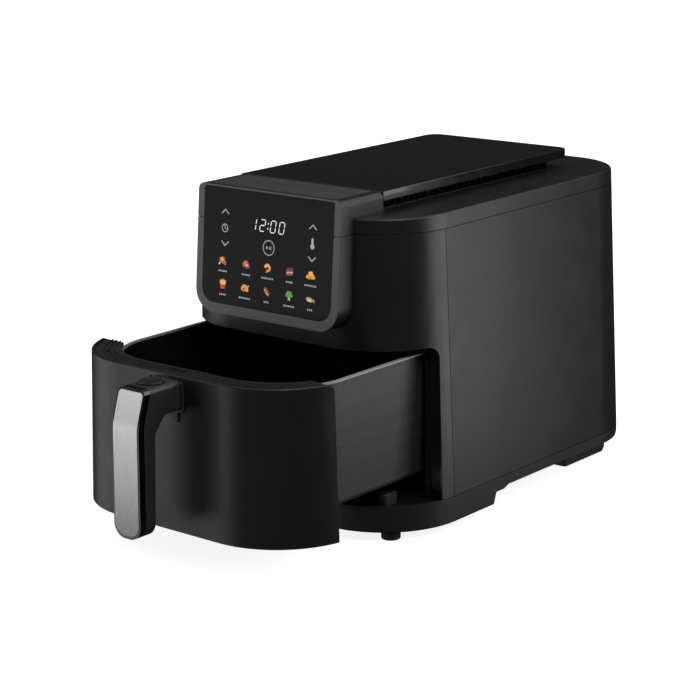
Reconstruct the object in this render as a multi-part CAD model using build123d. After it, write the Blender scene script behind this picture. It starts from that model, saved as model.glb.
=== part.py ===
from build123d import *
import math
import os

# A single-drawer air fryer, in millimetres.
# X runs to the right as seen from the front, -Y is the front, +Z is up. The feet stand on Z = 0.
# The housing is centred on X = 0 and Y = 0, and every piece is drawn with the drawer shut.
# main() then draws the drawer out and centres the whole object on the origin.

# Housing: overall sizes
BODY_WIDTH = 280.0
BODY_DEPTH = 396.5
TOTAL_HEIGHT = 304.0
CORNER_RADIUS = 80.0
DRAFT = 0.0354
WALL = 2.5

# Housing: levels and seams
BASE_SEAM = 33.0
CAP_SEAM = TOTAL_HEIGHT - 30.5
CAP_TOP = TOTAL_HEIGHT - 17.0
PLATE_BOTTOM = TOTAL_HEIGHT - 8.0
OPENING_TOP = TOTAL_HEIGHT - 132.0
SEAM_GAP = 0.5
LAP = 4.0
LAP_WALL = 1.3
SIDE_SEAM = -BODY_DEPTH / 2 + 78.0
OPENING_EDGE = -BODY_DEPTH / 2 + 65.4
EDGE_LEAN = 0.018
OPENING_ROUND = 11.0

# Base
SKIRT_BOTTOM = 9.0
SKIRT_ROUND = 2.0
SKIRT_WALL = 4.5
TRAY_FLOOR = 29.0
TRAY_WALL = 3.0
FOOT_RADIUS = 8.75
FOOT_STEM_RADIUS = 4.0
FOOT_STEM_LENGTH = 8.0
FOOT_X = BODY_WIDTH / 2 - 35.0
FOOT_Y = -BODY_DEPTH / 2 + 31.0
REAR_FOOT_WIDTH = 22.0
REAR_FOOT_LENGTH = 71.0
REAR_FOOT_X = BODY_WIDTH / 2 - 39.0
REAR_FOOT_Y = BODY_DEPTH / 2 - 68.0

# Control head
HEAD_HALF = 83.0
HEAD_BOTTOM = TOTAL_HEIGHT - 114.0
HEAD_FRONT = -BODY_DEPTH / 2 - 2.0
HEAD_BACK = -BODY_DEPTH / 2 + 53.0
HEAD_TILT = 0.0904
HEAD_CORNER = 21.0
HEAD_TOP_ROUND = 5.5
HEAD_WALL = 2.5
BEZEL_WALL = 3.5
GLASS_HALF = 75.5
GLASS_TOP = 1.7
GLASS_BOTTOM = 105.5
GLASS_CORNER = 14.0
GLASS_THICKNESS = 2.6
GLASS_FIT = 0.25
GLASS_LEDGE = 3.0
BOARD_DEPTH = 9.0
BOARD_THICKNESS = 1.6
BOARD_INSET = 5.0
CLOCK_WIDTH = 50.0
CLOCK_HEIGHT = 20.0
CLOCK_X = 3.0
CLOCK_DROP = 30.0
SPRING_RADIUS = 3.0
STRIP_INSET = 9.5
STRIP_DEPTH = 1.2

# Top plate and the pedestal under it
PLATE_OVERHANG = 8.0
PLATE_REAR = BODY_DEPTH / 2 - 57.0
PLATE_CORNER = 13.0
PLATE_WALL = 2.5
PEDESTAL_SETBACK = 22.0
PEDESTAL_CORNER = 10.0
SLOT_PITCH = 9.0
SLOT_WIDTH = 5.0

# Drawer opening, chamber and pan
PAN_CLEARANCE = 1.8
PAN_HALF = BODY_WIDTH / 2 - 21.8
PAN_FRONT = -BODY_DEPTH / 2 + 25.5
PAN_REAR = BODY_DEPTH / 2 - 64.5
PAN_CORNER = 66.0
PAN_TOP = OPENING_TOP - 7.5
PAN_BOTTOM = 50.0
PAN_WALL = 1.2
PAN_DRAFT = 3.0
PAN_RIM = 2.6
PAN_RIM_HEIGHT = 1.6
PAN_FLOOR_ROUND = 6.0
LINER_WALL = 0.8
LINER_FLOOR = 41.0
LINER_TOP = TOTAL_HEIGHT - 78.0
LINER_FRONT = OPENING_EDGE + 9.0
LINER_REAR = PAN_REAR + 8.0
TRIM_WALL = 1.5
TRIM_LIP = 3.0
RUNNER_WIDTH = 8.0
RUNNER_X = PAN_HALF - 30.0
RUNNER_CLEARANCE = 0.4
GUIDE_LENGTH = 18.0
GUIDE_WIDTH = 8.5
GUIDE_X = PAN_HALF - 20.5
GUIDE_SETBACK = 28.4
GUIDE_CLEARANCE = 10.0

# Drawer
DRAWER_OUT = 140.0
DRAWER_GAP = 0.6
DRAWER_LOW = BASE_SEAM + 1.0
DRAWER_HIGH = OPENING_TOP - 2.0
DRAWER_WALL = 2.8
DRAWER_END_ROUND = OPENING_ROUND - 3.0
DRAWER_EDGE_ROUND = 1.2
DECK_TOP = DRAWER_HIGH - 1.6
DECK_THICKNESS = 3.0
DECK_LAP = 4.0
DECK_RIB = 1.0
DECK_GAP = 0.8
APRON_WALL = 2.0
APRON_BACK = PAN_FRONT - 4.5
SLOT_HALF = 9.7
SLOT_DEPTH = 4.0
SLOT_Y = PAN_FRONT - 7.0

# Handle
HANDLE_HALF = 15.5
HANDLE_TOP = DRAWER_HIGH - 4.0
HANDLE_BOTTOM = 38.6
HANDLE_FOOT_ROUND = 12.5
HANDLE_HEAD_ROUND = 5.0
HANDLE_RIM_DEPTH = 7.0
HANDLE_PLATE_HALF = 13.9
HANDLE_PLATE_TOP = HANDLE_TOP - 2.1
HANDLE_PLATE_BOTTOM = HANDLE_BOTTOM + 2.5
HANDLE_PLATE_FOOT_ROUND = 11.0
HANDLE_PLATE_HEAD_ROUND = 3.5
HANDLE_PLATE_THICKNESS = 1.5
HANDLE_REACH = 48.0
HANDLE_KNEE_REACH = 45.4
HANDLE_TOP_REACH = 35.6
HANDLE_KNEE = 135.0
HANDLE_GAP_LOW = 30.0
HANDLE_GAP_HIGH = 26.0
ARM_HALF = 18.2
ARM_BOTTOM = HANDLE_TOP - 25.0
ARM_ROUND = 10.0
ARM_FLARE = 12.0
ARM_DEPTH = 12.0
ARM_CORNER = 4.0
KNEE_ROUND = 30.0
ESCUTCHEON_WALL = 1.6
ESCUTCHEON_MARGIN = 2.2
ESCUTCHEON_TAB = 11.0
BUTTON_RADIUS = 10.8
BUTTON_FIT = 0.6
BUTTON_REACH = 13.5
BUTTON_PROUD = 2.2
BUTTON_HEIGHT = 7.0
BUTTON_TRAVEL = 3.0
STEM_RADIUS = 4.0
BUTTON_SPRING_RADIUS = 6.0
BUTTON_SPRING_WIRE = 0.5
CATCH_WIDTH = 12.0
CATCH_WALL = 2.4

# Crisper plate
CRISPER_LEVEL = 14.0
CRISPER_WALL = 1.5
CRISPER_GAP = 3.5
CRISPER_PITCH = 22.0
CRISPER_HOLE = 4.5

# Hot air system
FAN_Y = -6.0
SHAFT_RADIUS = 3.0
BUSH_FIT = 0.03
ROTOR_RADIUS = 14.0
AIR_GAP = 0.6
MOTOR_RADIUS = 32.0
MOTOR_LOW = LINER_TOP + 28.0
MOTOR_HIGH = TOTAL_HEIGHT - 12.0
HOT_FAN_RADIUS = 58.0
COOL_FAN_RADIUS = 44.0
COOL_FAN_LEVEL = LINER_TOP + 13.0
ELEMENT_LEVEL = LINER_TOP - 30.0
ELEMENT_TUBE = 3.2
ELEMENT_INNER = HOT_FAN_RADIUS + 10.0
ELEMENT_OUTER = ELEMENT_INNER + 18.0
GUARD_LEVEL = LINER_TOP - 39.0
GUARD_WIRE = 1.5
GUARD_RADIUS = ELEMENT_OUTER + 12.0
GUARD_HUB = 24.0
GUARD_RINGS = (0.29, 0.51, 0.73)
INSULATION_DEPTH = 7.0
FAN_DISC = 1.0
NUT_RADIUS = 6.5
NUT_HEIGHT = 3.5
MOTOR_SHELL = 1.5
WINDING_MARGIN = 10.0
WINDING_SLOT = 4.0
BUSH_RADIUS = 6.0
BUSH_LENGTH = 8.0
BUSH_HOUSING_RADIUS = 9.0
BRACKET_HALF = 60.0
BRACKET_THICKNESS = 1.5
BRACKET_CORNER = 8.0
BRACKET_LEG_REACH = 52.0
BRACKET_LEG_RADIUS = 5.0
MOTOR_SCREW_RADIUS = 1.6
MOTOR_SCREW_HEAD_RADIUS = 3.4
MOTOR_SCREW_HEAD = 2.4
CUTOUT_RADIUS = 8.0
CUTOUT_HEIGHT = 9.0
PROBE_RADIUS = 2.0
PROBE_LENGTH = 20.0

# Power board, air outlet and switch
POWER_BOARD_HALF = 70.0
POWER_BOARD_RISE = 20.0
POWER_BOARD_THICKNESS = 1.6
POST_RADIUS = 3.5
POST_PIN_RADIUS = 1.6
DUCT_WALL = 1.5
DUCT_HALF_HEIGHT = 15.0
SWITCH_HALF = 5.0
SWITCH_LENGTH = 20.0
SWITCH_HEIGHT = 10.0

DRAFT_ANGLE = math.degrees(math.atan(DRAFT))


def lean(z):
    """Inward lean of the outer wall at height z."""
    return DRAFT * (z - BASE_SEAM)


def body_block(low, high, inset=0.0):
    """Solid of the housing's outer form between two levels, its walls moved inward by inset."""
    shrink = lean(low) + inset
    outline = RectangleRounded(BODY_WIDTH - 2 * shrink, BODY_DEPTH - 2 * shrink, CORNER_RADIUS - shrink)
    return extrude(Pos(0, 0, low) * outline, high - low, taper=DRAFT_ANGLE)


def span(x0, x1, y0, y1, z0, z1):
    """Box between two corners."""
    return Pos((x0 + x1) / 2, (y0 + y1) / 2, (z0 + z1) / 2) * Box(abs(x1 - x0), abs(y1 - y0), abs(z1 - z0))


def rod(x, y, z0, z1, radius):
    """Upright cylinder between two levels."""
    return Pos(x, y, (z0 + z1) / 2) * Cylinder(radius, z1 - z0)


def front_rod(x, z, y0, y1, radius):
    """Cylinder along Y between two places."""
    return Pos(x, (y0 + y1) / 2, z) * Rot(90, 0, 0) * Cylinder(radius, y1 - y0)


def side_prism(points, half_width):
    """Outline of (y, z) points drawn out along X to both sides of the middle."""
    outline = make_face(Polyline(*points, close=True))
    return extrude(Plane.YZ * outline, half_width, both=True)


def front_prism(sketch, y0, y1):
    """Sketch in (x, z) drawn out along Y between two places."""
    return extrude(Plane.XZ.offset(-y0) * sketch, y0 - y1)


def behind(y0, y1=BODY_DEPTH):
    """Everything between two places along Y."""
    return span(-BODY_WIDTH, BODY_WIDTH, y0, y1, 0, TOTAL_HEIGHT + 10.0)


def mirrored(solid):
    """The solid and its mirror image across the middle plane, as separate solids."""
    return Compound(children=[solid, mirror(solid, about=Plane.YZ)])


def shell(low, high, wall=WALL):
    """Tube of the housing's outer wall."""
    return body_block(low, high) - body_block(low, high, wall)


def lap_ring(low, high):
    """Thin inner tongue that backs a seam of the outer wall."""
    return body_block(low, high, WALL) - body_block(low, high, WALL + LAP_WALL)


# Base ---------------------------------------------------------------------------------------------

def skirt_relief():
    """Space under the side skirts: a step behind the front feet, a long arch, and a rise at the rear."""
    front = -BODY_DEPTH / 2
    rear = BODY_DEPTH / 2
    below = SKIRT_BOTTOM - 5.0
    points = [
        (front + 137.0, below),
        (front + 137.0, SKIRT_BOTTOM),
        (front + 141.0, SKIRT_BOTTOM + 11.5),
        (front + 153.0, SKIRT_BOTTOM + 11.5),
        (front + 160.0, SKIRT_BOTTOM + 14.2),
        (rear - 50.5, SKIRT_BOTTOM + 14.2),
        (rear - 40.5, SKIRT_BOTTOM + 16.5),
        (rear + 1.0, SKIRT_BOTTOM + 18.5),
        (rear + 1.0, below),
    ]
    return side_prism(points, BODY_WIDTH)


def post_places():
    """Middles of the four posts that carry the cooking chamber."""
    x = PAN_HALF - 50.0
    return [(sx * x, y) for sx in (-1, 1) for y in (LINER_FRONT + 25.0, LINER_REAR - 25.0)]


def base_tray():
    footprint = RectangleRounded(BODY_WIDTH, BODY_DEPTH, CORNER_RADIUS)
    block = extrude(Pos(0, 0, SKIRT_BOTTOM) * footprint, BASE_SEAM - SKIRT_BOTTOM)
    block = fillet(block.faces().sort_by(Axis.Z)[0].outer_wire().edges(), SKIRT_ROUND)
    width = BODY_WIDTH - 2 * SKIRT_WALL
    inner = RectangleRounded(width, BODY_DEPTH - 2 * SKIRT_WALL, CORNER_RADIUS - SKIRT_WALL)
    underside = TRAY_FLOOR - TRAY_WALL
    cavity = extrude(Pos(0, 0, SKIRT_BOTTOM - 1.0) * inner, underside - SKIRT_BOTTOM + 1.0)
    recess = extrude(Pos(0, 0, TRAY_FLOOR) * inner, BASE_SEAM - TRAY_FLOOR + 1.0)
    tray = block - cavity - recess - skirt_relief()
    for side in (-1, 1):
        x = side * FOOT_X
        boss = rod(x, FOOT_Y, SKIRT_BOTTOM, underside, FOOT_RADIUS + 1.2)
        hole = rod(x, FOOT_Y, SKIRT_BOTTOM - 1.0, SKIRT_BOTTOM + FOOT_STEM_LENGTH, FOOT_STEM_RADIUS)
        tray = tray + boss - hole
    for x, y in post_places():
        tray += rod(x, y, TRAY_FLOOR, LINER_FLOOR, 6.0)
        tray -= rod(x, y, underside - 1.0, LINER_FLOOR - 2.0, 1.5)
    high = BASE_SEAM + LAP
    lip = body_block(TRAY_FLOOR, high, WALL + 0.1) - body_block(TRAY_FLOOR, high, WALL + 2.2)
    return tray + (lip & behind(OPENING_EDGE + 14.0))


def base_screws():
    screws = []
    for x, y in post_places():
        head = rod(x, y, TRAY_FLOOR - TRAY_WALL - 2.2, TRAY_FLOOR - TRAY_WALL, 3.2)
        screws.append(head + rod(x, y, TRAY_FLOOR - TRAY_WALL, LINER_FLOOR - 2.0, 1.5))
    return Compound(children=screws)


def front_feet():
    pad = rod(FOOT_X, FOOT_Y, 0, SKIRT_BOTTOM, FOOT_RADIUS)
    pad = fillet(pad.edges().sort_by(Axis.Z)[0], 1.5)
    stem = rod(FOOT_X, FOOT_Y, SKIRT_BOTTOM, SKIRT_BOTTOM + FOOT_STEM_LENGTH, FOOT_STEM_RADIUS)
    return mirrored(pad + stem)


def rear_feet():
    x0 = REAR_FOOT_X - REAR_FOOT_WIDTH / 2
    y0 = REAR_FOOT_Y - REAR_FOOT_LENGTH / 2
    y1 = REAR_FOOT_Y + REAR_FOOT_LENGTH / 2
    block = span(x0, x0 + REAR_FOOT_WIDTH, y0, y1, 0, TRAY_FLOOR - TRAY_WALL)
    rear_low = block.edges().filter_by(Axis.X).sort_by(Axis.Z)[:2].sort_by(Axis.Y)[-1]
    block = chamfer(rear_low, 6.0)
    uprights = block.edges().filter_by(Axis.Z)
    return mirrored(fillet(uprights, 3.0))


def guide_blocks():
    """Small blocks on the tray's floor, just inside the opening, that the pan passes over."""
    x = GUIDE_X - GUIDE_WIDTH / 2
    y = LINER_FRONT - GUIDE_SETBACK
    top = PAN_BOTTOM - GUIDE_CLEARANCE
    block = span(x, x + GUIDE_WIDTH, y - GUIDE_LENGTH, y, TRAY_FLOOR, top)
    block = fillet(block.edges().filter_by(Axis.Z), 3.0)
    return mirrored(fillet(block.faces().sort_by(Axis.Z)[-1].edges(), 1.5))


# Housing covers -----------------------------------------------------------------------------------

def edge_y(z):
    """Y of the drawer opening's rear edge, which leans back a little, at height z."""
    return OPENING_EDGE - EDGE_LEAN * (OPENING_TOP - z)


def side_region(low, high, gap, corner_round):
    """Everything in front of the opening's rear edge, less a gap, with a rounded top rear corner."""
    front = -BODY_DEPTH
    points = [(front, low), (edge_y(low) - gap, low), (edge_y(high) - gap, high), (front, high)]
    profile = make_face(Polyline(*points, close=True))
    corner = profile.vertices().sort_by(lambda v: v.X + v.Y)[-1]
    return extrude(Plane.YZ * fillet(corner, corner_round), BODY_WIDTH, both=True)


def drawer_opening():
    """The space that the drawer passes through."""
    return side_region(BASE_SEAM - 10.0, OPENING_TOP, 0.0, OPENING_ROUND)


def front_cover():
    end = SIDE_SEAM - SEAM_GAP / 2
    wall = shell(BASE_SEAM + SEAM_GAP, CAP_SEAM - SEAM_GAP) & behind(-BODY_DEPTH, end)
    low = BASE_SEAM + LAP + 1.0
    high = CAP_SEAM - LAP - 1.0
    tongue = body_block(low, high) - body_block(low, high, WALL + LAP_WALL)
    tongue &= behind(OPENING_EDGE + 5.0, SIDE_SEAM + LAP)
    tongue -= shell(low, high) & behind(end)
    wiring = span(-20, 20, -BODY_DEPTH, 0, CAP_SEAM - 40.0, CAP_SEAM - 25.0)
    return wall + tongue - drawer_opening() - wiring


def grille_place():
    """Level and half sizes of the rear grille."""
    return LINER_TOP - 22.0, 50.0, 20.0


def gland_place():
    return -40.0, 110.0


def rear_wall(z, inset=0.0):
    """Y of the rear wall's outer face at height z."""
    return BODY_DEPTH / 2 - lean(z) - inset


def wrap_shell():
    wall = shell(BASE_SEAM + SEAM_GAP, CAP_SEAM - SEAM_GAP)
    wall &= behind(SIDE_SEAM + SEAM_GAP / 2)
    z, half_x, half_z = grille_place()
    window = span(-half_x, half_x, 0, BODY_DEPTH, z - half_z, z + half_z)
    gland_x, gland_z = gland_place()
    hole = front_rod(gland_x, gland_z, BODY_DEPTH / 2 - 30.0, BODY_DEPTH / 2 + 30.0, 6.0)
    return wall - window - hole


def rear_grille():
    z, half_x, half_z = grille_place()
    low = z - half_z
    high = z + half_z
    plate = body_block(low, high, 0.6) - body_block(low, high, 2.6)
    plate &= span(-half_x + 0.2, half_x - 0.2, 0, BODY_DEPTH, low + 0.2, high - 0.2)
    flange = body_block(low - 5, high + 5, WALL) - body_block(low - 5, high + 5, WALL + 1.5)
    flange &= span(-half_x - 6, half_x + 6, 0, BODY_DEPTH, low - 5, high + 5)
    flange -= span(-half_x + 4, half_x - 4, 0, BODY_DEPTH, low + 4, high - 4)
    grille = plate + flange
    for row in range(4):
        level = z + (row - 1.5) * 8.5
        slot = span(-half_x + 7, half_x - 7, 0, BODY_DEPTH, level - 2.2, level + 2.2)
        rib = span(-1.5, 1.5, 0, BODY_DEPTH, level - 3, level + 3)
        grille -= slot - rib
    return grille


def cord_gland():
    x, z = gland_place()
    y = rear_wall(z)
    outer = front_rod(x, z, y - 12.0, y + 4.0, 5.9)
    flange = front_rod(x, z, y, y + 1.8, 9.0)
    nut = front_rod(x, z, y - 10.5, y - 7.5, 9.0)
    bore = front_rod(x, z, y - 30.0, y + 30.0, 3.6)
    seat = body_block(z - 15, z + 15) - body_block(z - 15, z + 15, WALL)
    return (outer + (flange - seat) + nut) - bore


def top_cover():
    cap = body_block(CAP_SEAM, CAP_TOP)
    cap = fillet(cap.faces().sort_by(Axis.Z)[-1].outer_wire().edges(), 2.5)
    cap -= body_block(CAP_SEAM, CAP_TOP - WALL, WALL)
    lip = lap_ring(CAP_SEAM - LAP, CAP_SEAM)
    root = CAP_SEAM + 2.0
    lip += body_block(CAP_SEAM, root, WALL - 0.2) - body_block(CAP_SEAM, root, WALL + LAP_WALL)
    half = HEAD_HALF - PLATE_OVERHANG
    rear = PLATE_REAR - PEDESTAL_SETBACK
    length = rear - HEAD_BACK
    middle = (rear + HEAD_BACK) / 2
    rise = TOTAL_HEIGHT - PLATE_WALL
    under = CAP_TOP - WALL
    pedestal = extrude(Pos(0, middle, under) * Rectangle(2 * half, length), rise - under)
    pedestal = fillet(pedestal.edges().filter_by(Axis.Z).sort_by(Axis.Y)[-2:], PEDESTAL_CORNER)
    hollow = span(-half + WALL, half - WALL, HEAD_BACK + WALL, rear - WALL, under - 1, rise - WALL)
    cover = cap + lip + pedestal - hollow
    count = int((length - 40.0) / SLOT_PITCH)
    slots = [
        span(-half - 1, half + 1, y, y + SLOT_WIDTH, CAP_TOP + 1.5, PLATE_BOTTOM - 0.5)
        for y in (HEAD_BACK + 20.0 + i * SLOT_PITCH for i in range(count))
    ]
    return cover - slots


def top_plate():
    front = HEAD_BACK + SEAM_GAP
    length = PLATE_REAR - front
    outline = Pos(0, (front + PLATE_REAR) / 2, PLATE_BOTTOM) * Rectangle(2 * HEAD_HALF, length)
    plate = extrude(outline, TOTAL_HEIGHT - PLATE_BOTTOM)
    plate = fillet(plate.edges().filter_by(Axis.Z).sort_by(Axis.Y)[-2:], PLATE_CORNER)
    plate = fillet(plate.faces().sort_by(Axis.Z)[-1].edges(), 0.8)
    inner = HEAD_HALF - PLATE_WALL
    rear = PLATE_REAR - PLATE_WALL
    hollow = span(-inner, inner, front - 1, rear, PLATE_BOTTOM - 1, TOTAL_HEIGHT - PLATE_WALL)
    hollow = fillet(hollow.edges().filter_by(Axis.Z).sort_by(Axis.Y)[-2:], PLATE_CORNER - PLATE_WALL)
    return plate - hollow


# Control head -------------------------------------------------------------------------------------

def face_y(z):
    """Y of the head's tilted front face at height z."""
    return HEAD_FRONT - HEAD_TILT * (TOTAL_HEIGHT - z)


def face_plane():
    return Plane(origin=(0, HEAD_FRONT, TOTAL_HEIGHT), x_dir=(1, 0, 0), z_dir=(0, -1, HEAD_TILT))


def before_face(depth=0.0):
    """Everything in front of the head's face, moved back by depth."""
    top = TOTAL_HEIGHT + 20.0
    low = HEAD_BOTTOM - 40.0
    far = -2 * BODY_DEPTH
    points = [(face_y(top) + depth, top), (face_y(low) + depth, low), (far, low), (far, top)]
    return side_prism(points, BODY_WIDTH)


def head_block(low, high, inset, back):
    """The head's box between two levels, before its face is cut: rounded at the bottom and the top."""
    bottom = HEAD_BOTTOM + inset
    top = TOTAL_HEIGHT - inset
    outline = Pos(0, (bottom + top) / 2) * Rectangle(2 * (HEAD_HALF - inset), top - bottom)
    corners = outline.vertices().sort_by(Axis.Y)
    outline = fillet(corners[:2], HEAD_CORNER - inset)
    outline = fillet(outline.vertices().sort_by(Axis.Y)[-2:], max(HEAD_TOP_ROUND - inset, 1.0))
    block = front_prism(outline, -BODY_DEPTH / 2 - 60.0, back)
    block &= span(-BODY_WIDTH, BODY_WIDTH, -2 * BODY_DEPTH, BODY_DEPTH, low, high)
    return block - before_face(BEZEL_WALL if inset else 0.0)


def glass_outline(shrink):
    """Outline of the glass, on the head's face."""
    half = GLASS_HALF - shrink
    top = -GLASS_TOP - shrink
    bottom = -GLASS_BOTTOM + shrink
    outline = Pos(0, (top + bottom) / 2) * Rectangle(2 * half, top - bottom)
    outline = fillet(outline.vertices().sort_by(Axis.Y)[:2], GLASS_CORNER - shrink)
    return fillet(outline.vertices().sort_by(Axis.Y)[-2:], 2.0)


def face_slab(outline, start, thickness):
    """A slab parallel to the head's face, from start to start + thickness behind it."""
    return extrude(face_plane().offset(-start) * outline, -thickness)


def glass_recess():
    seat = extrude(face_plane().offset(5.0) * glass_outline(0), -(GLASS_THICKNESS + 5.2))
    window = extrude(face_plane().offset(5.0) * glass_outline(GLASS_LEDGE), -20.0)
    return seat + window


def display_housing():
    high = CAP_SEAM - SEAM_GAP / 2
    outer = head_block(HEAD_BOTTOM, high, 0.0, -BODY_DEPTH / 4)
    inner = head_block(HEAD_BOTTOM, high, HEAD_WALL, -BODY_DEPTH / 4)
    return outer - inner - glass_recess() - body_block(BASE_SEAM, CAP_SEAM)


def display_cap():
    low = CAP_SEAM + SEAM_GAP / 2
    outer = head_block(low, TOTAL_HEIGHT, 0.0, HEAD_BACK)
    inner = head_block(low, TOTAL_HEIGHT, HEAD_WALL, HEAD_BACK - HEAD_WALL)
    top = TOTAL_HEIGHT - STRIP_DEPTH
    groove = span(-strip_half(), strip_half(), strip_front(), HEAD_BACK - 2.5, top, TOTAL_HEIGHT + 1)
    return outer - inner - glass_recess() - groove - body_block(BASE_SEAM, CAP_TOP)


def strip_half():
    return HEAD_HALF - STRIP_INSET


def strip_front():
    return HEAD_FRONT + 5.0


def top_strip():
    half = strip_half() - 0.15
    front = strip_front() + 0.15
    strip = span(-half, half, front, HEAD_BACK - 2.65, TOTAL_HEIGHT - STRIP_DEPTH, TOTAL_HEIGHT - 0.1)
    return fillet(strip.edges().filter_by(Axis.Z), 1.5)


def display_glass():
    return face_slab(glass_outline(GLASS_FIT), 0.2, GLASS_THICKNESS)


def display_board():
    half = GLASS_HALF - BOARD_INSET
    height = GLASS_BOTTOM - GLASS_TOP - 2 * BOARD_INSET - 6.0
    outline = Pos(0, -(GLASS_BOTTOM + GLASS_TOP) / 2) * Rectangle(2 * half, height)
    return face_slab(fillet(outline.vertices(), 3.0), BOARD_DEPTH, BOARD_THICKNESS)


def led_module():
    outline = Pos(CLOCK_X, -CLOCK_DROP) * Rectangle(CLOCK_WIDTH, CLOCK_HEIGHT)
    start = GLASS_THICKNESS + 0.4
    return face_slab(outline, start, BOARD_DEPTH - start)


def touch_places():
    """Middles of the touch areas on the face: side columns, start ring and two rows of programmes."""
    places = [(side * 51.0, -drop) for side in (-1, 1) for drop in (24.0, 39.0, 52.0)]
    places.append((2.0, -50.0))
    places += [(column * 25.8, -drop) for drop in (68.0, 89.0) for column in range(-2, 3)]
    return places


def touch_springs():
    start = GLASS_THICKNESS + 0.4
    length = BOARD_DEPTH - start
    pads = [Pos(x, y) * Circle(SPRING_RADIUS) for x, y in touch_places()]
    return Compound(children=[face_slab(pad, start, length) for pad in pads])


# Chamber ------------------------------------------------------------------------------------------

def liner_half():
    return PAN_HALF + PAN_CLEARANCE


def opening_trim():
    half = liner_half()
    low = BASE_SEAM + 1.0
    high = PAN_TOP + 4.5
    lip = OPENING_EDGE - TRIM_LIP
    sleeve = span(-half - TRIM_WALL, half + TRIM_WALL, lip, LINER_FRONT, low, high)
    sleeve -= span(-half, half, lip - 1, LINER_FRONT + 1, low - 1, high - TRIM_WALL)
    flange = body_block(low + 5, OPENING_TOP + 4, WALL + LAP_WALL + 0.3)
    flange &= behind(OPENING_EDGE + 1, OPENING_EDGE + 3.5)
    flange -= span(-half, half, -BODY_DEPTH, 0, 0, high - TRIM_WALL)
    return sleeve + flange


def chamber_liner():
    half = liner_half()
    outer = half + LINER_WALL
    floor = LINER_FLOOR + LINER_WALL
    box = span(-outer, outer, LINER_FRONT, LINER_REAR + LINER_WALL, LINER_FLOOR, LINER_TOP)
    inner = span(-half, half, LINER_FRONT - 1, LINER_REAR, floor, LINER_TOP - LINER_WALL)
    liner = box - inner - rod(0, FAN_Y, LINER_TOP - 5, LINER_TOP + 5, 6.0)
    for x, y in terminal_places():
        liner -= rod(x, y, LINER_TOP - 5, LINER_TOP + 5, ELEMENT_TUBE + 0.3)
    z = grille_place()[0]
    for column in range(-3, 4):
        x = column * 10.0
        liner -= span(x - 3, x + 3, LINER_REAR - 1, LINER_REAR + 5, z - 10, z + 10)
    return liner


def pan_runners():
    top = PAN_BOTTOM - RUNNER_CLEARANCE
    low = LINER_FLOOR + LINER_WALL
    x = RUNNER_X - RUNNER_WIDTH / 2
    bar = span(x, x + RUNNER_WIDTH, LINER_FRONT + 4, LINER_REAR - 6, low, top)
    bar = chamfer(bar.edges().filter_by(Axis.X).sort_by(Axis.Y)[:2].sort_by(Axis.Z)[-1], 3.0)
    return mirrored(bar)


def roof_insulation():
    half = liner_half() - 6.0
    top = LINER_TOP + INSULATION_DEPTH
    blanket = span(-half, half, LINER_FRONT + 14, LINER_REAR - 8, LINER_TOP, top)
    blanket = fillet(blanket.edges().filter_by(Axis.Z), 12.0)
    blanket -= rod(0, FAN_Y, LINER_TOP - 1, LINER_TOP + 20, 12.0)
    for x, y in terminal_places():
        blanket -= rod(x, y, LINER_TOP - 1, LINER_TOP + 20, 6.0)
    for x, y in bracket_places():
        blanket -= rod(x, y, LINER_TOP - 1, LINER_TOP + 20, 8.0)
    px, py = probe_place()
    blanket -= rod(px, py, LINER_TOP - 1, LINER_TOP + 20, 5.0)
    cx, cy = cutout_place()
    return blanket - rod(cx, cy, LINER_TOP - 1, LINER_TOP + 20, 12.0)


def terminal_places():
    """Where the heating element's two ends rise through the chamber roof."""
    angle = math.radians(20.0)
    return [(r * math.cos(angle), FAN_Y + r * math.sin(angle)) for r in (ELEMENT_INNER, ELEMENT_OUTER)]


def heating_element():
    """Two concentric loops of tube, joined by a half turn at one end and rising to the roof at the other."""
    sweep_angle = 320.0
    loops = []
    for radius in (ELEMENT_INNER, ELEMENT_OUTER):
        loop = revolve(Plane.XZ * (Pos(radius, 0) * Circle(ELEMENT_TUBE)), Axis.Z, sweep_angle)
        loops.append(Rot(0, 0, 20.0) * loop)
    middle = (ELEMENT_INNER + ELEMENT_OUTER) / 2
    bend_radius = (ELEMENT_OUTER - ELEMENT_INNER) / 2
    bend = revolve(Plane.XZ * (Pos(bend_radius, 0) * Circle(ELEMENT_TUBE)), Axis.Z, 180.0)
    end_angle = 20.0 + sweep_angle
    bend = Rot(0, 0, end_angle) * Pos(middle, 0, 0) * bend
    element = loops[0] + loops[1] + bend
    element = Pos(0, FAN_Y, ELEMENT_LEVEL) * element
    for x, y in terminal_places():
        element += Pos(x, y, ELEMENT_LEVEL) * Sphere(ELEMENT_TUBE)
        element += rod(x, y, ELEMENT_LEVEL, LINER_TOP + INSULATION_DEPTH + 10.0, ELEMENT_TUBE)
    return element


def clip_angles():
    return (100.0, 180.0, 260.0)


def element_clips():
    """Straps that hang the element from the chamber roof."""
    clips = []
    middle = (ELEMENT_INNER + ELEMENT_OUTER) / 2
    reach = (ELEMENT_OUTER - ELEMENT_INNER) / 2 + ELEMENT_TUBE + 2.0
    low = ELEMENT_LEVEL - ELEMENT_TUBE - 1.2
    for angle in clip_angles():
        strap = span(middle - reach, middle + reach, -4, 4, low, low + 1.2)
        strap += span(middle - 1.2, middle + 1.2, -4, 4, low, LINER_TOP - LINER_WALL)
        clips.append(Pos(0, FAN_Y, 0) * Rot(0, 0, angle) * strap)
    return Compound(children=clips)


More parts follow.
